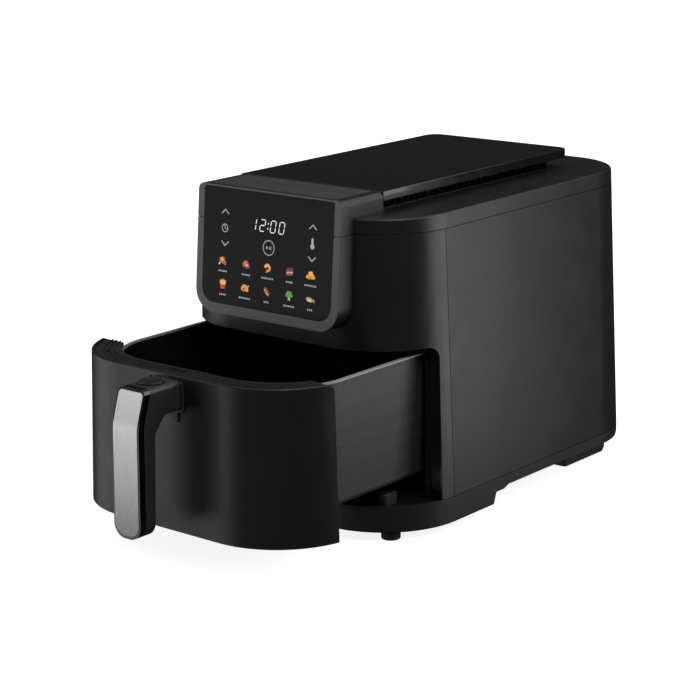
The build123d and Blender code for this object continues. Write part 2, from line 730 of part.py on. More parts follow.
def element_guard():
    """Round wire grid under the element, hung from the roof by four legs."""
    guard = Pos(0, 0, GUARD_LEVEL) * Torus(GUARD_RADIUS, GUARD_WIRE)
    for share in GUARD_RINGS:
        guard += Pos(0, 0, GUARD_LEVEL) * Torus(GUARD_RADIUS * share, GUARD_WIRE)
    spoke_end = GUARD_RADIUS + 2.0
    spoke_middle = (GUARD_HUB + spoke_end) / 2
    for angle in (45.0, 135.0, 225.0, 315.0):
        spoke = Rot(0, 90, 0) * Cylinder(GUARD_WIRE, spoke_end - GUARD_HUB)
        spoke = Pos(spoke_middle, 0, GUARD_LEVEL) * spoke
        leg = rod(GUARD_RADIUS, 0, GUARD_LEVEL, LINER_TOP - LINER_WALL, GUARD_WIRE)
        guard += Rot(0, 0, angle) * (spoke + leg)
    return Pos(0, FAN_Y, 0) * guard


# Motor and fans -----------------------------------------------------------------------------------

def fan_wheel(radius, hub, disc_low, disc_high, blade_low, blade_high, blades):
    wheel = rod(0, 0, min(blade_low, disc_low), max(blade_high, disc_high), hub)
    wheel += rod(0, 0, disc_low, disc_high, radius)
    for i in range(blades):
        blade = span(hub - 1, radius - 2, -0.6, 0.6, blade_low, blade_high)
        wheel += Rot(0, 0, i * 360.0 / blades) * Pos(0, 5.0, 0) * Rot(0, 0, -8.0) * blade
    wheel -= rod(0, 0, min(blade_low, disc_low) - 1, max(blade_high, disc_high) + 1, SHAFT_RADIUS)
    return Pos(0, FAN_Y, 0) * wheel


def hot_air_fan():
    disc = LINER_TOP - 7.0
    return fan_wheel(HOT_FAN_RADIUS, 8.0, disc, disc + FAN_DISC, disc - 13.0, disc, 12)


def cooling_fan():
    disc = COOL_FAN_LEVEL
    top = disc + FAN_DISC
    return fan_wheel(COOL_FAN_RADIUS, 7.0, disc, top, top, top + 7.0, 9)


def motor_shaft():
    shaft = rod(0, FAN_Y, LINER_TOP - 24.0, MOTOR_HIGH - 3.0, SHAFT_RADIUS)
    return chamfer(shaft.edges().sort_by(Axis.Z)[0], 0.6)


def fan_nut():
    nut = extrude(Pos(0, FAN_Y, LINER_TOP - 23.5) * RegularPolygon(NUT_RADIUS, 6), NUT_HEIGHT)
    return nut - rod(0, FAN_Y, LINER_TOP - 30.0, LINER_TOP, SHAFT_RADIUS)


def motor_rotor():
    margin = WINDING_MARGIN - 0.5
    rotor = rod(0, FAN_Y, MOTOR_LOW + margin, MOTOR_HIGH - margin, ROTOR_RADIUS)
    return rotor - rod(0, FAN_Y, MOTOR_LOW, MOTOR_HIGH, SHAFT_RADIUS)


def motor_stator():
    low = MOTOR_LOW + WINDING_MARGIN
    high = MOTOR_HIGH - WINDING_MARGIN
    ring = rod(0, FAN_Y, low, high, MOTOR_RADIUS - MOTOR_SHELL)
    ring -= rod(0, FAN_Y, MOTOR_LOW, MOTOR_HIGH, ROTOR_RADIUS + AIR_GAP)
    slot = rod(22.0, 0, MOTOR_LOW, MOTOR_HIGH, WINDING_SLOT)
    return ring - [Pos(0, FAN_Y, 0) * Rot(0, 0, i * 60.0) * slot for i in range(6)]


def bush_levels():
    return MOTOR_LOW, MOTOR_HIGH - BUSH_LENGTH


def motor_case():
    case = rod(0, FAN_Y, MOTOR_LOW, MOTOR_HIGH, MOTOR_RADIUS)
    case = fillet(case.edges().sort_by(Axis.Z)[-1], 3.0)
    inside = MOTOR_RADIUS - MOTOR_SHELL
    case -= rod(0, FAN_Y, MOTOR_LOW + MOTOR_SHELL, MOTOR_HIGH - MOTOR_SHELL, inside)
    for low in bush_levels():
        case += rod(0, FAN_Y, low, low + BUSH_LENGTH, BUSH_HOUSING_RADIUS)
    return case - rod(0, FAN_Y, MOTOR_LOW - 1, MOTOR_HIGH + 1, BUSH_RADIUS)


def motor_bushes():
    bushes = []
    for low in bush_levels():
        bush = rod(0, FAN_Y, low, low + BUSH_LENGTH, BUSH_RADIUS)
        bushes.append(bush - rod(0, FAN_Y, low - 1, low + BUSH_LENGTH + 1, SHAFT_RADIUS + BUSH_FIT))
    return Compound(children=bushes)


def bracket_places():
    reach = BRACKET_LEG_REACH
    return [(x, FAN_Y + y) for x in (-reach, reach) for y in (-reach, reach)]


def motor_bracket():
    """Plate under the motor on four legs that stand on the chamber roof around the cooling fan."""
    low = MOTOR_LOW - BRACKET_THICKNESS
    half = BRACKET_HALF
    plate = span(-half, half, FAN_Y - half, FAN_Y + half, low, MOTOR_LOW)
    plate = fillet(plate.edges().filter_by(Axis.Z), BRACKET_CORNER)
    plate -= rod(0, FAN_Y, low - 1, MOTOR_LOW + 1, 12.0)
    for i in range(6):
        plate -= Pos(0, FAN_Y, 0) * Rot(0, 0, i * 60.0) * span(36, 46, -9, 9, low - 1, MOTOR_LOW + 1)
    for x, y in bracket_places():
        plate += rod(x, y, LINER_TOP, low, BRACKET_LEG_RADIUS)
        plate -= rod(x, y, LINER_TOP - 1, MOTOR_LOW + 1, MOTOR_SCREW_RADIUS)
    return plate


def motor_screws():
    screws = []
    for x, y in bracket_places():
        head = rod(x, y, MOTOR_LOW, MOTOR_LOW + MOTOR_SCREW_HEAD, MOTOR_SCREW_HEAD_RADIUS)
        screws.append(head + rod(x, y, LINER_TOP + 2, MOTOR_LOW, MOTOR_SCREW_RADIUS))
    return Compound(children=screws)


def cutout_place():
    return -75.0, FAN_Y + 20.0


def thermal_cutout():
    x, y = cutout_place()
    top = LINER_TOP + CUTOUT_HEIGHT
    can = rod(x, y, LINER_TOP, top, CUTOUT_RADIUS)
    return can + span(x - 11, x + 11, y - 2.5, y + 2.5, top, top + 1.0)


def probe_place():
    return 0.0, LINER_FRONT + 40.0


def temperature_probe():
    x, y = probe_place()
    stem = rod(x, y, LINER_TOP - PROBE_LENGTH, LINER_TOP - LINER_WALL, PROBE_RADIUS)
    return fillet(stem.edges().sort_by(Axis.Z)[0], 1.5)


# Power board, air outlet and switch ---------------------------------------------------------------

def board_corners():
    places = LINER_REAR - 67.0, LINER_REAR - 15.0
    return [(x, y) for x in (-POWER_BOARD_HALF, POWER_BOARD_HALF) for y in places]


def board_level():
    return LINER_TOP + POWER_BOARD_RISE


def power_board():
    xs, ys = zip(*board_corners())
    level = board_level()
    top = level + POWER_BOARD_THICKNESS
    board = span(min(xs) - 5, max(xs) + 5, min(ys) - 4, max(ys) + 5, level, top)
    for x, y in board_corners():
        board -= rod(x, y, level - 1, top + 1, POST_PIN_RADIUS)
    return board


def board_posts():
    posts = []
    for x, y in board_corners():
        post = rod(x, y, LINER_TOP + INSULATION_DEPTH, board_level(), POST_RADIUS)
        pin_top = board_level() + POWER_BOARD_THICKNESS + 1.0
        posts.append(post + rod(x, y, board_level(), pin_top, POST_PIN_RADIUS))
    return Compound(children=posts)


def board_parts():
    """Relay, transformer, capacitors and heat sink on the power board."""
    ys = [corner[1] for corner in board_corners()]
    y = (min(ys) + max(ys)) / 2
    low = board_level() + POWER_BOARD_THICKNESS
    relay = span(-58, -36, y - 8, y + 8, low, low + 16)
    transformer = span(-26, 0, y - 11, y + 11, low, low + 20)
    transformer += span(-30, 4, y - 8, y + 8, low + 5, low + 15)
    sink = span(48, 60, y - 12, y + 12, low, low + 18)
    for x in (50.5, 53.5, 56.5):
        sink -= span(x, x + 1.5, y - 13, y + 13, low + 4, low + 19)
    large_can = rod(14, y - 6, low, low + 18, 5.0)
    small_cans = [rod(28, y + 4, low, low + 14, 4.0), rod(38, y - 6, low, low + 14, 4.0)]
    return Compound(children=[relay, transformer, sink, large_can] + small_cans)


def exhaust_duct():
    z, half_x, half_z = grille_place()
    front = LINER_REAR + LINER_WALL
    rear = rear_wall(z + half_z + 5, WALL + 1.5) - 1.5
    half_width = half_x - 5
    outer = span(-half_width, half_width, front, rear, z - DUCT_HALF_HEIGHT, z + DUCT_HALF_HEIGHT)
    half_width -= DUCT_WALL
    half_height = DUCT_HALF_HEIGHT - DUCT_WALL
    inner = span(-half_width, half_width, front - 1, rear + 1, z - half_height, z + half_height)
    rim = DUCT_HALF_HEIGHT + 3
    flange = span(-half_x, half_x, front, front + DUCT_WALL, z - rim, z + rim)
    return outer + flange - inner


def drawer_switch():
    x = liner_half() - 12.0
    y = LINER_FRONT + 4.0
    low = PAN_TOP + 12.0
    top = low + SWITCH_HEIGHT
    body = span(x - SWITCH_HALF, x + SWITCH_HALF, y, y + SWITCH_LENGTH, low, top)
    lever = span(x - 2, x + 2, y - 3, y + 2, low + 1, low + 2.5)
    hanger = span(x - SWITCH_HALF, x + SWITCH_HALF, y + 6, y + 14, top, LINER_TOP - LINER_WALL)
    return body + lever + hanger


# Pan and crisper ----------------------------------------------------------------------------------

def pan_form(low, high, inset):
    """Tapered form of the pan between two levels, its walls moved inward by inset."""
    shrink = inset + (PAN_TOP - low) * math.tan(math.radians(PAN_DRAFT))
    length = PAN_REAR - PAN_FRONT
    outline = RectangleRounded(2 * (PAN_HALF - shrink), length - 2 * shrink, PAN_CORNER - shrink)
    return extrude(Pos(0, (PAN_REAR + PAN_FRONT) / 2, low) * outline, high - low, taper=-PAN_DRAFT)


def pan_outline(grow):
    length = PAN_REAR - PAN_FRONT
    return RectangleRounded(2 * (PAN_HALF + grow), length + 2 * grow, PAN_CORNER + grow)


def pan():
    outer = pan_form(PAN_BOTTOM, PAN_TOP, PAN_RIM)
    outer = fillet(outer.faces().sort_by(Axis.Z)[0].edges(), PAN_FLOOR_ROUND)
    inner = pan_form(PAN_BOTTOM + PAN_WALL, PAN_TOP + 5.0, PAN_RIM + PAN_WALL)
    inner = fillet(inner.faces().sort_by(Axis.Z)[0].edges(), PAN_FLOOR_ROUND - PAN_WALL)
    middle = (PAN_REAR + PAN_FRONT) / 2
    rim = extrude(Pos(0, middle, PAN_TOP - PAN_RIM_HEIGHT) * pan_outline(0), PAN_RIM_HEIGHT)
    rim = fillet(rim.faces().sort_by(Axis.Z)[-1].edges(), 0.6)
    return outer + rim - inner


def crisper_level():
    return PAN_BOTTOM + PAN_WALL + CRISPER_LEVEL


def crisper_inset(level):
    return PAN_RIM + PAN_WALL + (PAN_TOP - level) * math.tan(math.radians(PAN_DRAFT))


def crisper_plate():
    level = crisper_level()
    shrink = crisper_inset(level) + CRISPER_GAP
    length = PAN_REAR - PAN_FRONT - 2 * shrink
    width = 2 * (PAN_HALF - shrink)
    middle = (PAN_REAR + PAN_FRONT) / 2
    outline = RectangleRounded(width, length, PAN_CORNER - shrink)
    plate = extrude(Pos(0, middle, level) * outline, CRISPER_WALL)
    rim = extrude(Pos(0, middle, level) * (outline - offset(outline, -2.0)), 5.0)
    columns = int((width / 2 - 18.0) / CRISPER_PITCH)
    rows = int((length / 2 - 18.0) / CRISPER_PITCH)
    places = [
        (i * CRISPER_PITCH, middle + j * CRISPER_PITCH)
        for i in range(-columns, columns + 1)
        for j in range(-rows, rows + 1)
        if abs(i) + abs(j) < columns + rows - 1 and (i, j) != (0, 0)
    ]
    plate -= [rod(x, y, level - 1, level + CRISPER_WALL + 1, CRISPER_HOLE) for x, y in places]
    knob = rod(0, middle, level, level + 16.0, 3.0) + rod(0, middle, level + 14.0, level + 20.0, 8.0)
    return plate + rim + fillet(knob.edges().sort_by(Axis.Z)[-1], 2.0)


def bumper_places():
    shrink = crisper_inset(crisper_level()) + CRISPER_GAP
    middle = (PAN_REAR + PAN_FRONT) / 2
    half_x = PAN_HALF - shrink - 26.0
    half_y = (PAN_REAR - PAN_FRONT) / 2 - shrink - 26.0
    return [(sx * half_x, middle + sy * half_y) for sx in (-1, 1) for sy in (-1, 1)]


def crisper_bumpers():
    low = PAN_BOTTOM + PAN_WALL + 0.4
    bumpers = []
    for x, y in bumper_places():
        foot = rod(x, y, low, crisper_level(), 6.0)
        bumpers.append(fillet(foot.edges().sort_by(Axis.Z)[0], 2.0))
    return Compound(children=bumpers)


# Drawer front -------------------------------------------------------------------------------------

def drawer_front():
    outer = body_block(DRAWER_LOW, DRAWER_HIGH)
    outer = fillet(outer.faces().sort_by(Axis.Z)[-1].outer_wire().edges(), DRAWER_EDGE_ROUND)
    wall = outer - body_block(DRAWER_LOW, DRAWER_HIGH, DRAWER_WALL)
    wall &= side_region(DRAWER_LOW, DRAWER_HIGH, DRAWER_GAP, DRAWER_END_ROUND)
    return wall - catch_window()


def catch_window():
    """Hole in the drawer front for the catch, hidden behind the handle's arm."""
    low = catch_level() - BUTTON_TRAVEL - 1.0
    half = CATCH_WIDTH / 2 + 1.0
    return span(-half, half, -BODY_DEPTH / 2 - 20, PAN_FRONT, low, catch_level() + CATCH_WALL + 1.0)


def deck_inner(z0, z1):
    """Space over the pan's mouth that the deck leaves open."""
    half = PAN_HALF + 0.6
    length = PAN_REAR - PAN_FRONT
    outline = RectangleRounded(2 * half, length - 2 * DECK_LAP, PAN_CORNER + 2.0)
    return extrude(Pos(0, (PAN_REAR + PAN_FRONT) / 2, z0) * outline, z1 - z0)


def drawer_deck():
    low = DECK_TOP - DECK_THICKNESS
    end = OPENING_EDGE - TRIM_LIP - DECK_GAP
    deck = body_block(low, DECK_TOP, DRAWER_WALL) - deck_inner(low - 1, DECK_TOP + 1)
    for inset in (7.0, 11.5, 16.0):
        rib = body_block(DECK_TOP, DECK_TOP + DECK_RIB, DRAWER_WALL + inset)
        rib -= body_block(DECK_TOP, DECK_TOP + DECK_RIB, DRAWER_WALL + inset + 1.6)
        rib -= deck_inner(low, DECK_TOP + 5)
        deck += rib & behind(-BODY_DEPTH / 2 + 13.0)
    deck &= behind(-BODY_DEPTH, end)
    apron_half = PAN_HALF - 45.0
    deck += span(-apron_half, apron_half, APRON_BACK - APRON_WALL, APRON_BACK, PAN_BOTTOM + 10, low)
    deck -= span(-SLOT_HALF, SLOT_HALF, SLOT_Y - SLOT_DEPTH / 2, SLOT_Y + SLOT_DEPTH / 2, 0, TOTAL_HEIGHT)
    for side in (-1, 1):
        deck -= rod(side * 98.0, -BODY_DEPTH / 2 + 32.5, low - 1, DECK_TOP + 5, 2.6)
    holes = [front_rod(x, z, PAN_FRONT - 30.0, PAN_FRONT + 30.0, 2.0) for x, z in pan_screw_places()]
    return deck - catch_window() - holes


def pan_screw_places():
    return [(sx * (PAN_HALF - 60.0), z) for sx in (-1, 1) for z in (PAN_BOTTOM + 25.0, PAN_TOP - 25.0)]


def pan_front_wall(z):
    """Y of the pan's front outer face at height z."""
    return PAN_FRONT + PAN_RIM + (PAN_TOP - z) * math.tan(math.radians(PAN_DRAFT))


def pan_screws():
    """Screws with spacers that carry the pan on the apron behind the drawer front."""
    screws = []
    apron_front = APRON_BACK - APRON_WALL
    for x, z in pan_screw_places():
        reach = pan_front_wall(z + 4.0)
        head = front_rod(x, z, apron_front - 2.0, apron_front, 3.6)
        shank = front_rod(x, z, apron_front, reach, 2.0)
        spacer = front_rod(x, z, APRON_BACK, reach, 4.5)
        screws.append(head + shank + spacer)
    return Compound(children=screws)


# Handle -------------------------------------------------------------------------------------------

def drawer_y(z):
    """Y of the drawer front's outer face at height z, in the middle."""
    return -BODY_DEPTH / 2 + lean(z)


def handle_line(back):
    """The handle's front line from top to bottom in (y, z), moved back by back."""
    front = -BODY_DEPTH / 2
    return [
        (front - HANDLE_TOP_REACH + back, HANDLE_TOP),
        (front - HANDLE_KNEE_REACH + back, HANDLE_KNEE),
        (front - HANDLE_REACH + back, HANDLE_BOTTOM),
    ]


def upright_outline(half, low, high, foot_round, head_round):
    """Front view of an upright piece: square-shouldered at the top and round at the foot."""
    outline = Pos(0, (low + high) / 2) * Rectangle(2 * half, high - low)
    outline = fillet(outline.vertices().sort_by(Axis.Y)[:2], foot_round)
    return fillet(outline.vertices().sort_by(Axis.Y)[-2:], head_round)


def handle_form():
    """Everything within the handle's front view."""
    outline = upright_outline(HANDLE_HALF, HANDLE_BOTTOM, HANDLE_TOP, HANDLE_FOOT_ROUND, HANDLE_HEAD_ROUND)
    return front_prism(outline, -BODY_DEPTH, 0)


def plate_form():
    """Everything within the front view of the handle's plate."""
    low = HANDLE_PLATE_BOTTOM
    high = HANDLE_PLATE_TOP
    outline = upright_outline(HANDLE_PLATE_HALF, low, high, HANDLE_PLATE_FOOT_ROUND, HANDLE_PLATE_HEAD_ROUND)
    return front_prism(outline, -BODY_DEPTH, 0)


def bent_band(near, far, half):
    """Band that follows the handle's bent front line between two depths."""
    front = handle_line(near)
    back = handle_line(far)
    outline = make_face(Polyline(*front, *reversed(back), close=True))
    knees = [v for v in outline.vertices() if abs(v.Y - HANDLE_KNEE) < 0.1]
    return extrude(Plane.YZ * fillet(knees, KNEE_ROUND), half, both=True)


def handle_plate():
    return bent_band(0.0, HANDLE_PLATE_THICKNESS, HANDLE_HALF) & plate_form()


def handle_rim():
    band = bent_band(0.4, HANDLE_RIM_DEPTH, HANDLE_HALF) & handle_form()
    return band - (bent_band(-5.0, HANDLE_PLATE_THICKNESS, HANDLE_HALF) & plate_form())


def grip_profile():
    """Side view of the grip and its arm behind the gloss border."""
    front = -BODY_DEPTH / 2
    line = handle_line(HANDLE_RIM_DEPTH)
    arm_end = front + ARM_DEPTH
    points = line + [
        (front - HANDLE_GAP_LOW, HANDLE_BOTTOM),
        (front - HANDLE_GAP_HIGH, ARM_BOTTOM - ARM_ROUND - 4.0),
        (front - HANDLE_GAP_HIGH + ARM_ROUND + 2.0, ARM_BOTTOM),
        (arm_end, ARM_BOTTOM),
        (arm_end, HANDLE_TOP),
    ]
    return make_face(Polyline(*points, close=True))


def arm_flare():
    """The arm's root, which widens towards the drawer front."""
    front = -BODY_DEPTH / 2
    near = Plane.XZ.offset(-(front - ARM_FLARE)) * arm_section(HANDLE_HALF, ARM_BOTTOM, HANDLE_TOP)
    far = Plane.XZ.offset(-(front + ARM_DEPTH)) * arm_section(ARM_HALF, ARM_BOTTOM, HANDLE_TOP)
    return loft([near, far])


def handle_body():
    front = -BODY_DEPTH / 2
    outline = grip_profile()
    knee = [v for v in outline.vertices() if abs(v.Y - HANDLE_KNEE) < 0.1]
    outline = fillet(knee, KNEE_ROUND)
    inside = [v for v in outline.vertices() if v.Y < ARM_BOTTOM + 0.1 and abs(v.X - front + 15.0) < 13.0]
    outline = fillet(inside, 6.0)
    grip = extrude(Plane.YZ * outline, HANDLE_HALF, both=True) & handle_form()
    grip += arm_flare()
    grip -= body_block(DRAWER_LOW, DRAWER_HIGH)
    y = button_y()
    grip -= rod(0, y, HANDLE_TOP - BUTTON_HEIGHT - 1.0, HANDLE_TOP + 1, BUTTON_RADIUS + BUTTON_FIT)
    grip -= rod(0, y, spring_floor(), HANDLE_TOP, BUTTON_SPRING_RADIUS + 1.2)
    half = CATCH_WIDTH / 2 + 1.0
    low = catch_level() - BUTTON_TRAVEL - 1.0
    return grip - span(-half, half, y, 0, low, catch_level() + CATCH_WALL + 1.0)


def arm_section(half, low, high):
    return upright_outline(half, low, high, ARM_CORNER, HANDLE_HEAD_ROUND)


def handle_escutcheon():
    """Thin collar around the arm on the drawer front, with a small tab below it."""
    front = -BODY_DEPTH / 2
    section = arm_section(ARM_HALF + ESCUTCHEON_MARGIN, ARM_BOTTOM - ESCUTCHEON_MARGIN, HANDLE_TOP + 0.4)
    tab = upright_outline(ARM_HALF - 4.0, ARM_BOTTOM - ESCUTCHEON_TAB, ARM_BOTTOM, 3.0, 1.0)
    outer = front_prism(section, front - 20, 0) + front_prism(tab, front - 20, 0)
    layer = body_block(DRAWER_LOW, DRAWER_HIGH, -ESCUTCHEON_WALL) - body_block(DRAWER_LOW, DRAWER_HIGH)
    return (outer & layer) - span(-ARM_HALF, ARM_HALF, -BODY_DEPTH, 0, ARM_BOTTOM, HANDLE_TOP + 5)


def handle_screws():
    z = HANDLE_TOP - 7.0
    radius = 3.0
    y = drawer_y(z + radius) + DRAWER_WALL + 0.05
    return Compound(children=[front_rod(side * 12.0, z, y, y + 2.4, radius) for side in (-1, 1)])


# Release button -----------------------------------------------------------------------------------

def button_y():
    return -BODY_DEPTH / 2 - BUTTON_REACH


def catch_level():
    return HANDLE_TOP - BUTTON_HEIGHT - 10.0


def spring_floor():
    return HANDLE_TOP - 23.0


def release_button():
    y = button_y()
    top = HANDLE_TOP + BUTTON_PROUD
    low = top - BUTTON_HEIGHT
    cap = rod(0, y, low, top, BUTTON_RADIUS)
    cap = fillet(cap.edges().sort_by(Axis.Z)[-1], 1.2)
    dish = Pos(0, y, top + 58.8) * Sphere(60.0)
    return (cap - dish) + rod(0, y, catch_level() + CATCH_WALL, low, STEM_RADIUS)


def release_catch():
    """Flat arm that the button's stem pushes down, with a hook that stands in the deck's slot."""
    y = button_y()
    z = catch_level()
    half = CATCH_WIDTH / 2
    arm = span(-half, half, y, SLOT_Y + CATCH_WALL / 2, z, z + CATCH_WALL)
    seat = rod(0, y, z, z + CATCH_WALL, STEM_RADIUS)
    hook = span(-half, half, SLOT_Y - CATCH_WALL / 2, SLOT_Y + CATCH_WALL / 2, z, DECK_TOP - 4.0)
    return arm + seat + hook


def button_spring():
    """Coil spring under the catch arm's seat, standing on the floor of its well."""
    radius = 2.6
    low = spring_floor() + 0.4
    high = catch_level() - 0.2
    turns = 3
    height = high - low - 2 * BUTTON_SPRING_WIRE
    path = Helix(pitch=height / turns, height=height, radius=radius)
    coil = sweep(Plane(origin=path @ 0, z_dir=path % 0) * Circle(BUTTON_SPRING_WIRE), path=path)
    return Pos(0, button_y(), low + BUTTON_SPRING_WIRE) * coil


# Placing and export -------------------------------------------------------------------------------

HOUSING = {
    "base_tray": base_tray,
    "base_screws": base_screws,
    "front_feet": front_feet,
    "rear_feet": rear_feet,
    "guide_blocks": guide_blocks,
    "front_cover": front_cover,
    "wrap_shell": wrap_shell,
    "rear_grille": rear_grille,
    "cord_gland": cord_gland,
    "top_cover": top_cover,
    "top_plate": top_plate,
    "top_strip": top_strip,
    "display_housing": display_housing,
    "display_cap": display_cap,
    "display_glass": display_glass,
    "display_board": display_board,
    "led_module": led_module,
    "touch_springs": touch_springs,
    "opening_trim": opening_trim,
    "chamber_liner": chamber_liner,
    "pan_runners": pan_runners,
    "roof_insulation": roof_insulation,
    "heating_element": heating_element,
    "element_clips": element_clips,
    "element_guard": element_guard,
    "motor_bracket": motor_bracket,
    "motor_screws": motor_screws,
    "motor_case": motor_case,
    "motor_stator": motor_stator,
    "motor_bushes": motor_bushes,
    "thermal_cutout": thermal_cutout,
    "temperature_probe": temperature_probe,
    "power_board": power_board,
    "board_posts": board_posts,
    "board_parts": board_parts,
    "exhaust_duct": exhaust_duct,
    "drawer_switch": drawer_switch,
    "hot_air_fan": hot_air_fan,
    "cooling_fan": cooling_fan,
    "motor_shaft": motor_shaft,
    "motor_rotor": motor_rotor,
    "fan_nut": fan_nut,
}

DRAWER = {
    "drawer_front": drawer_front,
    "drawer_deck": drawer_deck,
    "pan": pan,
    "pan_screws": pan_screws,
    "crisper_plate": crisper_plate,
    "crisper_bumpers": crisper_bumpers,
    "handle_body": handle_body,
    "handle_rim": handle_rim,
    "handle_plate": handle_plate,
    "handle_escutcheon": handle_escutcheon,
    "handle_screws": handle_screws,
    "release_button": release_button,
    "release_catch": release_catch,
    "button_spring": button_spring,
}


def row_shift():
    """Y shift that centres the whole object, its drawer drawn out, on the origin."""
    front = -BODY_DEPTH / 2 - HANDLE_REACH - DRAWER_OUT
    rear = BODY_DEPTH / 2
    return -(front + rear) / 2


def main():
    os.makedirs("parts", exist_ok=True)
    for group, out in ((HOUSING, 0.0), (DRAWER, DRAWER_OUT)):
        for name, make in group.items():
            export_step(Pos(0, row_shift() - out, 0) * make(), f"parts/{name}.step")


main()
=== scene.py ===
import math

import bmesh
import bpy
from mathutils import Matrix, Vector


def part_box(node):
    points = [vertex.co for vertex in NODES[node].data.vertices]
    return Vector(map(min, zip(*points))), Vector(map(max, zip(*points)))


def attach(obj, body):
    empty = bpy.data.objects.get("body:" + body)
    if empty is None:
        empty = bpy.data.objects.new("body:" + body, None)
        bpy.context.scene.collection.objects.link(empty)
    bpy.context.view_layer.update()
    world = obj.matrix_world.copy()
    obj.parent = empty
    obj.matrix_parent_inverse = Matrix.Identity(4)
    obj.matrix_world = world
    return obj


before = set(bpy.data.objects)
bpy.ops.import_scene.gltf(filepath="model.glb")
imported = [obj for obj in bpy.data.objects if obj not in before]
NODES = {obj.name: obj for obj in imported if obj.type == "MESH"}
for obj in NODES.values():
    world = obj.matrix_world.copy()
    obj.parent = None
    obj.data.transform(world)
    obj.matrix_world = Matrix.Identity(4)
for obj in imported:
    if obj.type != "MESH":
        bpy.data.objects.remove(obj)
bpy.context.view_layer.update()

MM = 0.001
VENT_STEP = 8.7 * MM

# Materials ---------------------------------------------------------------------------------------


def srgb(red, green, blue):
    """A colour given as 0 to 255 on screen, as the linear values that shaders take."""
    linear = []
    for value in (red, green, blue):
        share = value / 255.0
        linear.append(share / 12.92 if share <= 0.04045 else ((share + 0.055) / 1.055) ** 2.4)
    return (*linear, 1.0)


